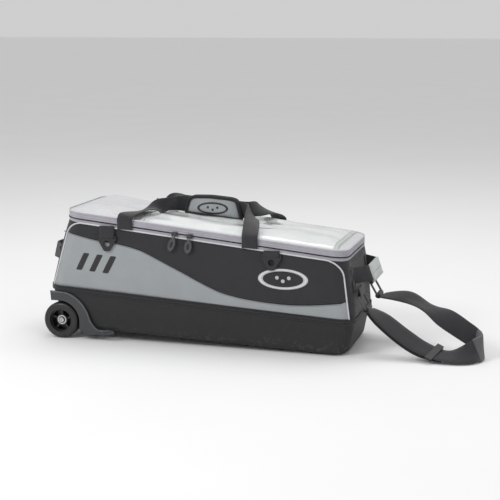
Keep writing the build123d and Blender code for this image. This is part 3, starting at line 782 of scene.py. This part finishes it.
# --- Side and end panels
def side_panel(name, face, bottom, top, fabric, node, columns=150, rows=16):
    """One puffed panel between two curves of the side view."""
    points = []
    for i in range(columns):
        t = i / (columns - 1)
        u = lerp(t, 0.5 - 0.5 * cos(pi * t), 0.6)
        for j in range(rows):
            z = MIDWAY
            for _ in range(5):
                x = panel_span(u, z)
                low = bottom(x, z)
                z = lerp(low, max(top(x, z), low + 0.4), j / (rows - 1))
            points.append(wall(x, z, 0.0, face))
    obj = new_piece(name, points, grid_faces(columns, rows, flip=face > 0), fabric, "bag", fabric, (node,))
    solid(obj, 2.6, inside="lining")


def panel_edge(face, lift, steps=26):
    """Path of the piping: up one side of the panel, along its rounded top and down the other."""
    halves = []
    for u in (0, 1):
        half = []
        for k in range(steps):
            z = MIDWAY
            for _ in range(4):
                x = panel_span(u, z)
                z = lerp(height(SEAM, x), height(RIM, x) - TRIM_DROP - PANEL_CORNER, k / steps)
            half.append((x, z))
        corner = []
        for k in range(9):
            a = radians((90 if u else 180) - 90 * k / 8)
            z = 240.0
            for _ in range(4):
                x = panel_span(u, z) + PANEL_CORNER * (cos(a) - 1 if u else cos(a) + 1)
                z = height(RIM, x) - TRIM_DROP - PANEL_CORNER * (1 - sin(a))
            corner.append((x, z))
        halves += [corner, half[::-1]] if u else [half, corner]
    start = halves[1][-1][0]
    along = [lerp(start, panel_span(1, 225) - PANEL_CORNER, k / 60) for k in range(1, 60)]
    halves.insert(2, [(x, height(RIM, x) - TRIM_DROP) for x in along])
    return [wall(x, z, lift, face) for part in halves for x, z in part]


class BAG_OT_side_panels(bpy.types.Operator):
    """Make the padded front and rear panels, their piping and the fabric of both ends"""
    bl_idname = "bag.side_panels"
    bl_label = "Side Panels"

    def execute(self, context):
        def dip(x, z):
            return min(swoosh(x), panel_top(x, z))
        for side, face in SIDES:
            side_panel(f"{side}_grey_side", face, lambda x, z: height(SEAM, x), dip, "grey_fabric",
                       f"{side}_panel_grey")
            side_panel(f"{side}_black_side", face, lambda x, z: min(swoosh(x), panel_top(x, z) - 0.4),
                       panel_top, "black_fabric", f"{side}_panel_black")
            tube(f"{side}_piping", panel_edge(face, 0.9), 2.0, "piping", "bag", "light_piping",
                 ("panel_piping",) if face < 0 else ())
            along = [lerp(*ends_at(180, PANEL_EDGE + 2), k / 120) for k in range(121)]
            tube(f"{side}_swoosh_seam", [wall(x, dip(x, 250), 0.5, face) for x in along], 0.9, "binding",
                 "bag", "trim", sides=6)
        self.end_panel("wheel_end_side", -1, "wheel_end_panel")
        self.end_panel("pull_end_side", 1, "pull_end_panel")
        return {"FINISHED"}

    def end_panel(self, name, sign, node, rows=22):
        """Wraps one end of the bag and tucks under both side panels."""
        tuck, straight, arc = 8, 20, 14
        columns = ([("tuck", -1, k / tuck) for k in range(tuck)] + [("arc", -1, k / arc) for k in range(arc)]
                   + [("flat", 0, k / straight) for k in range(straight)]
                   + [("arc", 1, k / arc) for k in range(arc + 1)]
                   + [("tuck", 1, k / tuck) for k in range(1, tuck + 1)])
        points = []
        for kind, face, t in columns:
            for j in range(rows):
                v = j / (rows - 1)
                z = MIDWAY
                for _ in range(4):
                    end = ends_at(z)[sign > 0]
                    z = lerp(height(SEAM, end), height(RIM, end) + 1.0, v)
                puff = shape().bulge * sin(pi * v) ** 0.7
                puff += 1.6 * ripple(0, face * 70 + t * 160, z, 48, 9.0) * sin(pi * v)
                if kind == "tuck":
                    into = (1 - t if face < 0 else t) * 48
                    x, y, nx, ny = end - sign * (CORNER + into), face * HALF, 0, face
                    puff = -0.9
                elif kind == "arc":
                    a = radians(90 * (t if face < 0 else 1 - t))
                    nx, ny = sign * sin(a), face * cos(a)
                    x, y = end - sign * CORNER + CORNER * nx, face * (HALF - CORNER) + CORNER * ny
                    puff = lerp(-0.9, puff, smooth((sin(a) - 0.6) / 0.4))
                else:
                    x, y, nx, ny = end, lerp(-(HALF - CORNER), HALF - CORNER, t), sign, 0
                zz = z if kind == "flat" else z + RIM[1] * (x - end) * v
                points.append(place(x + nx * puff, y + ny * puff, zz))
        obj = new_piece(name, points, grid_faces(len(columns), rows, flip=sign < 0), "black_fabric", "bag",
                        "black_fabric", (node,))
        solid(obj, 2.4, inside="lining")


# --- Bands round the bag
def beads(low, high, count, out, depth, back):
    """Closed profile of a band with rounded beads on its outer face."""
    steps = [k / (count * 6) for k in range(count * 6 + 1)]
    front = [(out + depth * abs(sin(pi * count * t)) ** 0.7, lerp(low, high, t)) for t in steps]
    return front + [(back, high), (back, low)]


class BAG_OT_bands(bpy.types.Operator):
    """Make the seam binding, the zip tapes, the zip teeth and the cover's skirt"""
    bl_idname = "bag.bands"
    bl_label = "Bands And Zip"

    def execute(self, context):
        fold = [(0.3, -12), (1.6, -12.4), (2.8, -11.2), (2.4, -8), (2.2, -4), (2.7, -1.2), (1.8, 0.5),
                (0.3, 0.2)]
        loop_band("seam_binding_tape", rim_loop(SEAM, SEAM_ENDS), fold, "binding", "bag", "trim",
                  ("seam_binding",), waver=0.5)
        rim = rim_loop(RIM, RIM_ENDS)
        loop_band("bag_zip_tape", rim, beads(-1.5, 6.6, 2, -0.4, 1.1, -2.2), "zip_tape", "bag", "zip_band",
                  ("lower_zip_tape",))
        loop_band("cover_zip_band", rim, beads(7.7, 22.6, 3, -0.6, 1.5, -2.6), "zip_tape", "cover",
                  "zip_band", ("cover_skirt",), waver=0.4)
        edge = [(1.2 * cos(radians(30 * k)) + 0.1, 24.0 + 1.9 * sin(radians(30 * k))) for k in range(12)]
        loop_band("cover_edge_piping", rim, edge, "piping", "cover", "light_piping", ("cover_piping",),
                  waver=0.4)
        front = [p for p in rim if p[1] < HALF - CORNER - 4]
        start = next(i for i, p in enumerate(front) if p[3] < -0.9)  # the wheel end, where the zip begins
        for name, body, level in (("bag_zip_teeth", "bag", 6.35), ("cover_zip_teeth", "cover", 8.1)):
            path = [place(x + u * 0.9, y + v * 0.9, z + level)
                    for x, y, z, u, v in front[start:] + front[:start]]
            studs(name, [path], 1.35, (1.9, 1.0, 0.75), "dark_metal", body, "dark_metal")
        along = [lerp(-290, 285, k / 60) for k in range(61)]
        tube("rear_hinge_tape", [place(x, HALF + 1.6, height(RIM, x) + 3.6) for x in along], 4.2, "binding",
             "bag", "trim", ("cover_hinge_strip",), flat=0.3, up=ACROSS)
        return {"FINISHED"}


# --- Cover
def crown_height(x, y):
    """Height of the cover above the rim line, sagging between the handles."""
    left, right = RIM_ENDS
    dx, dy = min(x - left, right - x), HALF - abs(y)
    if dx < CORNER and dy < CORNER:
        edge = CORNER - sqrt((CORNER - dx) ** 2 + (CORNER - dy) ** 2)
    else:
        edge = min(dx, dy)
    rise = shape().crown * smooth(0.12 + 0.88 * edge / shape().crown_inset) if edge > 0 else 0
    fade = smooth(edge / 45)
    wave = ripple(x, y * 1.7, 0, 95, 3.0) + 0.45 * ripple(x, y, 0, 38, 7.0)
    wave += 0.8 * (1 - abs(ripple(x * 0.35, y, 0, 60, 12.0)) * 3) * smooth((abs(x + 150) - 6) / 30)
    slope = rise * (0.2 + 0.8 * smooth(edge / 20))
    return 22.6 + 1.4 * smooth(edge / 6) + slope + shape().cover_slack * wave * fade


def on_cover(x, y, lift=0.0):
    return place(x, y, height(RIM, x) + crown_height(x, y) + lift)


def cover_half_width(x):
    left, right = RIM_ENDS
    dx = clamp(min(x - left, right - x), 0.0, CORNER)
    return HALF - CORNER + sqrt(CORNER ** 2 - (CORNER - dx) ** 2) - 0.6


def cover_panel(name, start, stop, material, slot, node, columns, rows=56):
    """Part of the cover from one cross seam or end to the next."""
    points = []
    for i in range(columns):
        x = lerp(start, stop, i / (columns - 1))
        half = cover_half_width(x)
        points += [on_cover(x, lerp(-half, half, 0.5 - 0.5 * cos(pi * j / (rows - 1))))
                   for j in range(rows)]
    obj = new_piece(name, points, grid_faces(columns, rows), material, "cover", slot, (node,))
    solid(obj, 1.2)


class BAG_OT_cover(bpy.types.Operator):
    """Make the vinyl cover, its cross seams and their stitches"""
    bl_idname = "bag.cover"
    bl_label = "Cover"

    def execute(self, context):
        left, right = RIM_ENDS
        seams = (-150.0, 318.0)
        cover_panel("cover_wheel_end", left + 0.6, seams[0], "cover", "cover_fabric", "cover_wheel_panel", 60)
        cover_panel("cover_clear_window", seams[0], seams[1], "window", "clear_vinyl", "cover_window", 130)
        cover_panel("cover_pull_end", seams[1], right - 0.6, "cover", "cover_fabric", "cover_pull_panel", 24)
        rows = []
        for x in seams:
            half = cover_half_width(x) - 1.0
            strip = [(x - 6, 0.2), (x - 5.5, 1.1), (x, 1.3), (x + 5.5, 1.1), (x + 6, 0.2), (x, -0.6)]
            sections = [[on_cover(sx, lerp(-half, half, k / 60), lift) for sx, lift in strip]
                        for k in range(61)]
            swept(f"cover_seam_{'wheel' if x < 0 else 'pull'}_side", sections, "sleeve", "cover", "zip_band")
            for dx in (-3.6, 3.6):
                rows.append([on_cover(x + dx, lerp(-half, half, k / 60), 1.4) for k in range(61)])
        studs("cover_seam_stitches", rows, 4.4, (0.6, 0.6, 3.2), "thread", "cover", "zip_band")
        return {"FINISHED"}


# --- Zip sliders' pulls, badges and stripes
class BAG_OT_zip_pulls(bpy.types.Operator):
    """Make the zip pull tabs"""
    bl_idname = "bag.zip_pulls"
    bl_label = "Zip Pulls"

    def execute(self, context):
        for side in ("wheel", "pull"):
            low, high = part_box(f"zip_pull_{side}_side")
            x = middle_x(low, high)
            y, top, bottom = (low[1] + high[1]) / 2 / MM, high[2] / MM, low[2] / MM
            body = f"{side}_side_zip_pull"
            lean = sin(radians(16 if side == "wheel" else 7))

            def on(px, pz, lift, y=y, x=x, top=top, lean=lean):
                return place(px - lean * (top - 3 - pz), y - lift, pz)
            outline = [(x + 8.6 * cos(2 * pi * k / 40) * (1 - 0.1 * sin(2 * pi * k / 40)),
                        bottom + 16 + 16 * sin(2 * pi * k / 40)) for k in range(40)]
            pillow(f"zip_tab_{side}_side", outline, 1.3, -1.0, "dark_metal", body, "dark_metal", on,
                   (f"zip_pull_{side}_side",), fullness=10)
            rim = [on(px, pz, 0.9) for px, pz in outline]
            ring = [on(x + 3.3 * sin(radians(a)), top - 6.6 + 6.4 * cos(radians(a)), 0)
                    for a in range(0, 360, 15)]
            for piece, path, radius in (("tab_rim", rim, 0.9), ("link", ring, 1.0)):
                tube(f"zip_{piece}_{side}_side", path, radius, "dark_metal", body, "dark_metal", closed=True,
                     up=ACROSS, sides=8)
            recess = ellipse(x, bottom + 15, 4.0, 8.0, 24)
            pillow(f"zip_tab_inlay_{side}_side", recess, 1.9, 0.6, "buckle", body, "dark_metal", on,
                   fullness=8, rings=4)
        return {"FINISHED"}


class BAG_OT_badges(bpy.types.Operator):
    """Make the side badges and the printed stripes"""
    bl_idname = "bag.badges"
    bl_label = "Badges And Stripes"

    def execute(self, context):
        for side, face in SIDES:
            def on(x, z, lift, face=face):
                return wall(x, z, lift, face)
            nodes = ("side_badges",) if face < 0 else ()
            outer, inner = ellipse(197, 178, 59.5, 24.5, 72), ellipse(197, 178, 48, 18.5, 72)
            flat_ring(f"{side}_badge_ring", outer, inner, 1.2, "badge_rim", "bag", "badge", on, nodes)
            line, edge = ([(lerp(a, c, t), lerp(b, d, t)) for (a, b), (c, d) in zip(outer, inner)]
                          for t in (0.3, 0.62))
            flat_ring(f"{side}_badge_band", line, edge, 1.75, "badge", "bag", "badge", on, low=0.6)
            for k, (dx, dz) in enumerate(((-14, 3.0), (0, -4.6), (14, 3.0))):
                dot = ellipse(197 + dx, 178 + dz, 4.6, 4.6, 20)
                pillow(f"{side}_badge_dot_{k}", dot, 1.6, -0.3, "badge_rim", "bag", "badge", on, rings=4)
            for k in range(3):
                x = -318 + 34 * k
                z = 174 - 0.07 * (x + 318)
                bar = rounded([(x, z), (x + 15, z - 1), (x + 37, z + 41), (x + 22, z + 42)], 3, 3)
                nodes = ("side_stripes",) if face < 0 and k == 0 else ()
                pillow(f"{side}_stripe_{k}", bar, 0.8, -0.3, "print", "bag", "print", on, nodes, fullness=12)
        return {"FINISHED"}


# --- Webbing
class BAG_OT_loops(bpy.types.Operator):
    """Make the webbing loops that hold the clip plates, and the ring tabs"""
    bl_idname = "bag.loops"
    bl_label = "Clip Loops And Ring Tabs"

    def execute(self, context):
        for side, face in SIDES:
            for end, x, drop in zip(("wheel", "pull"), CLIP_X, CLIP_DROP):
                z, top = height(RIM, x) - drop, height(RIM, x) + 1.5
                path = [(HALF + 3.0, top), (HALF + 3.0, lerp(z, top, 0.5)), (CLIP_Y - 3.3, z - 1.0),
                        (CLIP_Y - 0.6, z - 3.2), (CLIP_Y + 2.6, z - 1.8), (CLIP_Y + 3.0, z + 1.6),
                        (HALF + 6.0, lerp(z, top, 0.6)), (HALF + 5.2, top)]
                stations = [((x, face * y, zz), (1, 0, 0)) for y, zz in path]
                nodes = ("clip_loops",) if face < 0 and end == "wheel" else ()
                ribbon(f"{side}_clip_loop_{end}_side", stations, 38, 1.8, nodes=nodes, samples=40)
        self.end_trim()
        low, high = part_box("ring_tabs")
        x = middle_x(low, high)
        z = low[2] / MM + 4.6
        for side, face in SIDES:
            path = [(x - 4.5, z + 19), (x - 3.4, z + 7), (x - 3.4, z), (x, z - 3.6), (x + 3.4, z),
                    (x + 2.6, z + 7), (x - 1.5, z + 19)]
            stations = [((px, face * 80, pz), (0, 1, 0)) for px, pz in path]
            ribbon(f"{side}_ring_tab", stations, 47, 1.8, nodes=("ring_tabs",) if face < 0 else (),
                   samples=40)
        return {"FINISHED"}

    def end_trim(self):
        """Sewn patches behind the grabs and ring tabs, and two stitched lines across each end."""
        for end, sign, grab_z in (("pull", 1, 187.0), ("wheel", -1, 207.0)):
            def on(y, z, lift, sign=sign):
                low, high = (height(line, sign * 350) for line in (SEAM, RIM))
                puff = shape().bulge * sin(pi * clamp((z - low) / (high - low))) ** 0.7
                return place(ends_at(z)[sign > 0] + sign * (puff + lift + 0.7), y, z)
            for side, face in SIDES:
                patch(f"{end}_grab_patch_{side}", [(face * lerp(66, 92, k / 6), grab_z) for k in range(7)],
                      on, 40)
                if sign < 0:
                    continue
                patch(f"ring_patch_{side}", [(face * 80, lerp(150, 176, k / 6)) for k in range(7)], on, 48)
                corners = (60, 153), (100, 153), (60, 173), (100, 173)
                rows = [[on(face * lerp(y0, y1, k / 8), lerp(z0, z1, k / 8), 1.1) for k in range(9)]
                        for (y0, z0), (y1, z1) in ((corners[i], corners[j]) for i, j in
                                                   ((0, 1), (2, 3), (0, 2), (1, 3), (0, 3), (2, 1)))]
                studs(f"ring_patch_stitches_{side}", rows, 3.6, (0.7, 0.7, 2.6), "dark_thread", "bag", "trim")
            rows = [[on(lerp(-90, 90, k / 40), z + 4 * cos(k / 40 * pi * 2), 0.1) for k in range(41)]
                    for z in (grab_z + 32, grab_z + 28)]
            studs(f"{end}_end_stitches", rows, 4.6, (0.7, 0.7, 3.2), "dark_thread", "bag", "trim")


class BAG_OT_grabs(bpy.types.Operator):
    """Make the grab handles of both ends and the light sleeve"""
    bl_idname = "bag.grabs"
    bl_label = "Grab Handles"

    def execute(self, context):
        sewn = (0, 1, 9, 10)  # the stations that lie flat against the end
        for end, wall_x, reach, z, lean in (("pull", 348.0, 41.0, 187.0, 0.35),
                                            ("wheel", -371.5, -34.5, 207.0, -0.25)):
            out = 1 if reach > 0 else -1
            plan = [(1.5 * out, -112, -4), (4 * out, -100, -2), (reach * 0.55, -80, 0),
                    (reach * 0.93, -62, 0), (reach, -42, 0), (reach, 0, -1), (reach, 42, 0),
                    (reach * 0.93, 62, 0), (reach * 0.55, 80, 0), (4 * out, 100, -2), (1.5 * out, 112, -4)]
            stations = [((wall_x + dx, y * 0.88, z + dz), (0.0 if k in sewn else -lean, 0, 1))
                        for k, (dx, y, dz) in enumerate(plan)]
            ribbon(f"{end}_end_handle", stations, 38, 2.6, nodes=(f"{end}_end_grab",), samples=100)
            if reach > 0:
                middle = [((wall_x + reach, lerp(-53, 53, k / 8), z - 0.5), (-lean, 0, 1)) for k in range(9)]
                ribbon("pull_end_sleeve", middle, 41, 7.0, "sleeve", "bag", "light_webbing", ("grab_sleeve",),
                       samples=40, round_off=0.7)
                row = [place(p[0] + 3.9, p[1], p[2]) for p, _ in middle]
                studs("sleeve_stitches", [row], 4.0, (0.6, 0.6, 2.8), "dark_thread", "bag", "trim")
        return {"FINISHED"}


HANDLE_OUT = 138.0  # middle of the webbing where it leaves the rim
HANDLE = [
    ((-189, -138, 277), (1, 0, 0)), ((-189, -138, 291), (1, 0, 0)), ((-188.5, -137.6, 304), (1, 0, 0)),
    ((-182, -128, 312.5), (1, 0.1, 0)), ((-150, -84, 319), (0.85, 0.5, 0.15)),
    ((-110, -28, 327), (0.3, 0.8, -0.5)), ((-84, -7, 326), (0, 0.1, -1)), ((-9, -7, 321), (0, 0, -1)),
    ((66, -7, 315), (0, 0.1, -1)), ((89, -24, 315), (0.1, 0.5, -0.85)), ((103, -62, 308), (0.7, 0.6, -0.4)),
    ((113, -106, 294), (0.95, 0.3, -0.1)), ((118, -137, 277), (1, 0, 0)), ((118, -138, 262), (1, 0, 0)),
    ((118, -138, 247), (1, 0, 0)),
]


class BAG_OT_handles(bpy.types.Operator):
    """Make the carry handles' webbing and the padded wrap round them"""
    bl_idname = "bag.handles"
    bl_label = "Carry Handles"

    def execute(self, context):
        root = place(0, HANDLE_OUT + 3, height(RIM, 0))
        aside = {"front": ((0, 1, 0), (0, -HANDLE_OUT * MM, 0)), "rear": ((0.034, -0.94, 0.34), tuple(root))}
        for side, face in (("front", 1), ("rear", -1)):
            stations = [((p[0], face * p[1], p[2]), (c[0], face * c[1], c[2])) for p, c in HANDLE]
            strap = ribbon(f"{side}_handle_strap", stations, 38, 2.2, body=f"{side}_handle",
                           nodes=(f"{side}_handle_webbing",), samples=200)
            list(aside[side])
            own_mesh(strap)
        body = "front_handle"
        outline = rounded([(-80, 305), (63, 291), (50, 337), (36, 341), (-15, 345), (-58, 344), (-69, 339)],
                          9, 4)

        def on(x, z, lift):
            return place(x, -6.0 - lift + (z - 300) * 0.06, z)
        pad = pillow("handle_wrap_pad", outline, 9.2, -8.6, "grey_fabric", body, "grey_fabric", on,
                     ("handle_wrap",), rings=9, fullness=5)
        plump(pad, 3.0, 2.4)
        skin = front_of(pad, -15.5)

        def face(x, z, lift):
            return place(x, skin(x, z) - lift, z)
        oval, hole = ellipse(-9, 318, 39, 15, 60), ellipse(-9, 318, 33.5, 10.5, 60)
        pieces = [pad]
        for name, lift, radius in (("handle_wrap_binding", 6.4, 4.2),
                                   ("handle_wrap_binding_back", -5.4, 4.0)):
            pieces.append(tube(name, [on(x, z, lift) for x, z in outline], radius, "binding", body, "trim",
                               closed=True, up=ACROSS))
        pieces.append(flat_ring("handle_wrap_emblem", oval, hole, 0.8, "badge_face", body, "trim", face,
                                low=-1.0))
        for k, (x, z) in enumerate(((-21, 320), (-9, 314.5), (3, 320))):
            pieces.append(pillow(f"handle_wrap_dot_{k}", ellipse(x, z, 3.0, 3.0, 16), 1.0, -1.0, "badge_face",
                                 body, "trim", face, rings=4))
        for piece in pieces:
            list(aside["front"])
            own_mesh(piece)
        return {"FINISHED"}


STRAP = [
    ((392, -80, 107), (0.0, 1.0, 0.0)), ((425, -88, 86), (0.33, 0.90, 0.28)),
    ((475, -97, 52), (0.40, 0.85, 0.34)), ((520, -103, 28), (0.40, 0.87, 0.28)),
    ((570, -108, 15), (0.30, 0.92, 0.25)), ((612, -104, 19), (0.10, 0.75, 0.65)),
    ((638, -88, 27), (-0.1, 0.35, 0.93)), ((648, -62, 30), (-0.1, 0.0, 1.0)),
    ((636, -34, 38), (-0.1, 0.1, 1.0)), ((601, -12, 54), (-0.15, 0.3, 0.95)),
    ((560, 12, 72), (-0.1, 0.6, 0.8)), ((510, 36, 92), (0.0, 0.97, 0.22)), ((455, 60, 110), (0.1, 0.9, 0.35)),
    ((392, 80, 107), (0.0, 1.0, 0.0)),
]


class BAG_OT_pull_strap(bpy.types.Operator):
    """Make the pull strap, the doubled length under it and its padded grip"""
    bl_idname = "bag.pull_strap"
    bl_label = "Pull Strap"

    def execute(self, context):
        body = "pull_strap_loop"
        ribbon("pull_strap_webbing", STRAP, 50, 2.2, body=body, nodes=("pull_strap",), samples=240)
        for side, face in SIDES:
            path = [(392, 107), (389.5, 113), (385, 114.8), (381, 111), (382, 106.5), (386, 104.2),
                    (392, 104.6)]
            stations = [((x, face * 80, z), (0, 1, 0)) for x, z in path]
            ribbon(f"{side}_strap_turn", stations, 50, 2.0, body=body, samples=40)
        under = [((x - 3, y + 2, z - 6 if k < 4 else z - 3.6), c)
                 for k, ((x, y, z), c) in enumerate(STRAP[:5])]
        ribbon("pull_strap_return", under, 50, 2.0, body=body)
        pad = ribbon("pull_strap_grip", STRAP[6:9], 55, 9.0, "grip", body, "grip_fabric", ("strap_grip",),
                     samples=40, round_off=0.7)
        return {"FINISHED"}


# --- Inside
class BAG_OT_inside(bpy.types.Operator):
    """Make the padded dividers and the ball cushions"""
    bl_idname = "bag.inside"
    bl_label = "Inside"

    def execute(self, context):
        for side in ("wheel", "pull"):
            node = f"divider_{side}_side"
            low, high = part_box(node)
            x, half, top, foot = middle_x(low, high), high[1] / MM, high[2] / MM, low[2] / MM
            outline = rounded([(-half, foot), (half, foot), (half, top - 6), (0, top - 14), (-half, top - 6)],
                              14, 5)

            def on(y, z, lift, x=x):
                return place(x + lift, y, z)
            pad = pillow(f"{side}_divider_pad", outline, 3.6, -3.6, "lining", "bag", "foam", on, (node,),
                         rings=8, fullness=9)
            plump(pad, 6.0, 3.0)
            tube(f"{side}_divider_binding", [on(y, z, 0) for y, z in outline], 3.2, "binding", "bag", "trim",
                 closed=True, up=Vector((1, 0, 0)))
        rings = [(93, 0.5), (95, 5), (94, 12), (90, 15.5), (82, 16.6), (72, 15.0), (56, 10.0), (30, 5.0),
                 (6, 3.4)]
        slope, pitch = 0.034, 228.0  # of the base board, and of the balls along it
        turns = [2 * pi * k / 64 for k in range(64)]
        for k in (-1, 0, 1):
            x, z = k * pitch, 24.3 - slope * k * pitch
            sections = [[place(x + r * cos(a), r * sin(a), z + h - slope * r * cos(a)) for a in turns]
                        for r, h in rings]
            pad = swept(f"ball_cushion_{k + 2}", sections, "lining", "bag", "foam",
                        ("ball_cushions",) if k < 0 else ())
        return {"FINISHED"}


# --- Stitches
class BAG_OT_stitches(bpy.types.Operator):
    """Sew the side panels, the binding and the cover's skirt"""
    bl_idname = "bag.stitches"
    bl_label = "Stitches"

    def execute(self, context):
        size = (0.7, 0.7, shape().stitch)
        rows = []
        for face in (-1, 1):
            for drop in (3.2, -3.2):
                along = [lerp(*ends_at(180, PANEL_EDGE + 8), k / 140) for k in range(141)]
                rows.append([wall(x, swoosh(x) - drop, 0.25, face) for x in along
                             if swoosh(x) - drop < panel_top(x, 250) - 4])
        studs("swoosh_stitches", rows, 4.6, size, "dark_thread", "bag", "trim")
        binding = [place(x + u * 2.7, y + v * 2.7, z - 6) for x, y, z, u, v in rim_loop(SEAM, SEAM_ENDS)]
        studs("binding_stitches", [binding], 4.6, size, "dark_thread", "bag", "trim", closed=True)
        row = [place(x + u * 0.9, y + v * 0.9, z + 20.2) for x, y, z, u, v in rim_loop(RIM, RIM_ENDS)]
        studs("skirt_stitches", [row], 4.4, (0.6, 0.6, 3.0), "thread", "cover", "zip_band", closed=True)
        return {"FINISHED"}


# --- Stage
class BAG_OT_stage(bpy.types.Operator):
    """Set the floor, the light and the camera"""
    bl_idname = "bag.stage"
    bl_label = "Stage"

    def execute(self, context):
        scene = context.scene
        mesh = bpy.data.meshes.new("pale_floor")
        mesh.from_pydata([(-60, -60, 0), (60, -60, 0), (60, 60, 0), (-60, 60, 0)], [], [(0, 1, 2, 3)])
        floor = bpy.data.objects.new("pale_floor", mesh)
        scene.collection.objects.link(floor)
        s = Shader("pale_floor_paint")
        mesh.materials.append(s.finish(s.blend(s.noise(2.0), (0.86, 0.86, 0.86), (0.9, 0.9, 0.9)), 0.9))
        world = bpy.data.worlds.new("soft_studio")
        world.use_nodes = True
        sky = world.node_tree.nodes["Background"]
        sky.inputs["Color"].default_value = (1.0, 1.0, 1.0, 1.0)
        sky.inputs["Strength"].default_value = 0.62
        scene.world = world
        for name, spot, power, size in (("key", (-1.8, -2.4, 2.4), 48, 1.2),
                                        ("fill", (2.8, -2.0, 1.6), 12, 2.2),
                                        ("top", (0.2, 0.8, 3.0), 30, 2.0)):
            light = bpy.data.lights.new(name, "AREA")
            light.energy, light.size = power, size
            lamp = bpy.data.objects.new(name, light)
            lamp.location = spot
            lamp.rotation_euler = (Vector((0, 0, 0.15)) - Vector(spot)).to_track_quat("-Z", "Y").to_euler()
            scene.collection.objects.link(lamp)
        azimuth, elevation, distance, lens = radians(15.5), radians(10.4), 3.0, 88.9848
        target = place(80.66, 0, 217.04)
        back = Vector((sin(azimuth) * cos(elevation), -cos(azimuth) * cos(elevation), sin(elevation)))
        camera = bpy.data.objects.new("camera", bpy.data.cameras.new("camera"))
        camera.data.lens = lens
        camera.data.sensor_width = 36.0
        camera.location = target + back * distance
        camera.rotation_euler = (-back).to_track_quat("-Z", "Y").to_euler()
        scene.collection.objects.link(camera)
        scene.camera = camera
        scene.view_settings.view_transform = "Standard"
        return {"FINISHED"}


OPERATORS = (BAG_OT_hard_parts, BAG_OT_side_panels, BAG_OT_bands, BAG_OT_cover, BAG_OT_zip_pulls,
             BAG_OT_badges, BAG_OT_loops, BAG_OT_grabs, BAG_OT_handles, BAG_OT_pull_strap, BAG_OT_inside,
             BAG_OT_stitches, BAG_OT_stage)


class BAG_PT_panel(bpy.types.Panel):
    """Lists the bag's pieces"""
    bl_idname = "BAG_PT_panel"
    bl_label = "Rolling Bowling Bag"
    bl_space_type = "VIEW_3D"
    bl_region_type = "UI"
    bl_category = "Bag"

    def draw(self, context):
        for operator in OPERATORS:
            self.layout.operator(operator.bl_idname)
        for settings in (context.scene.bag_shape, context.scene.bag_colours):
            box = self.layout.box()
            for name in settings.__annotations__:
                box.prop(settings, name)


CLASSES = (BagShape, BagColours, *OPERATORS, BAG_PT_panel)


def register():
    for cls in CLASSES:
        bpy.utils.register_class(cls)
    bpy.types.Scene.bag_shape = bpy.props.PointerProperty(type=BagShape)
    bpy.types.Scene.bag_colours = bpy.props.PointerProperty(type=BagColours)


def unregister():
    del bpy.types.Scene.bag_colours
    del bpy.types.Scene.bag_shape
    for cls in reversed(CLASSES):
        bpy.utils.unregister_class(cls)


def main():
    register()
    make_palette()
    for operator in OPERATORS:
        getattr(bpy.ops.bag, operator.bl_idname.split(".")[1])()


if __name__ == "__main__":
    main()
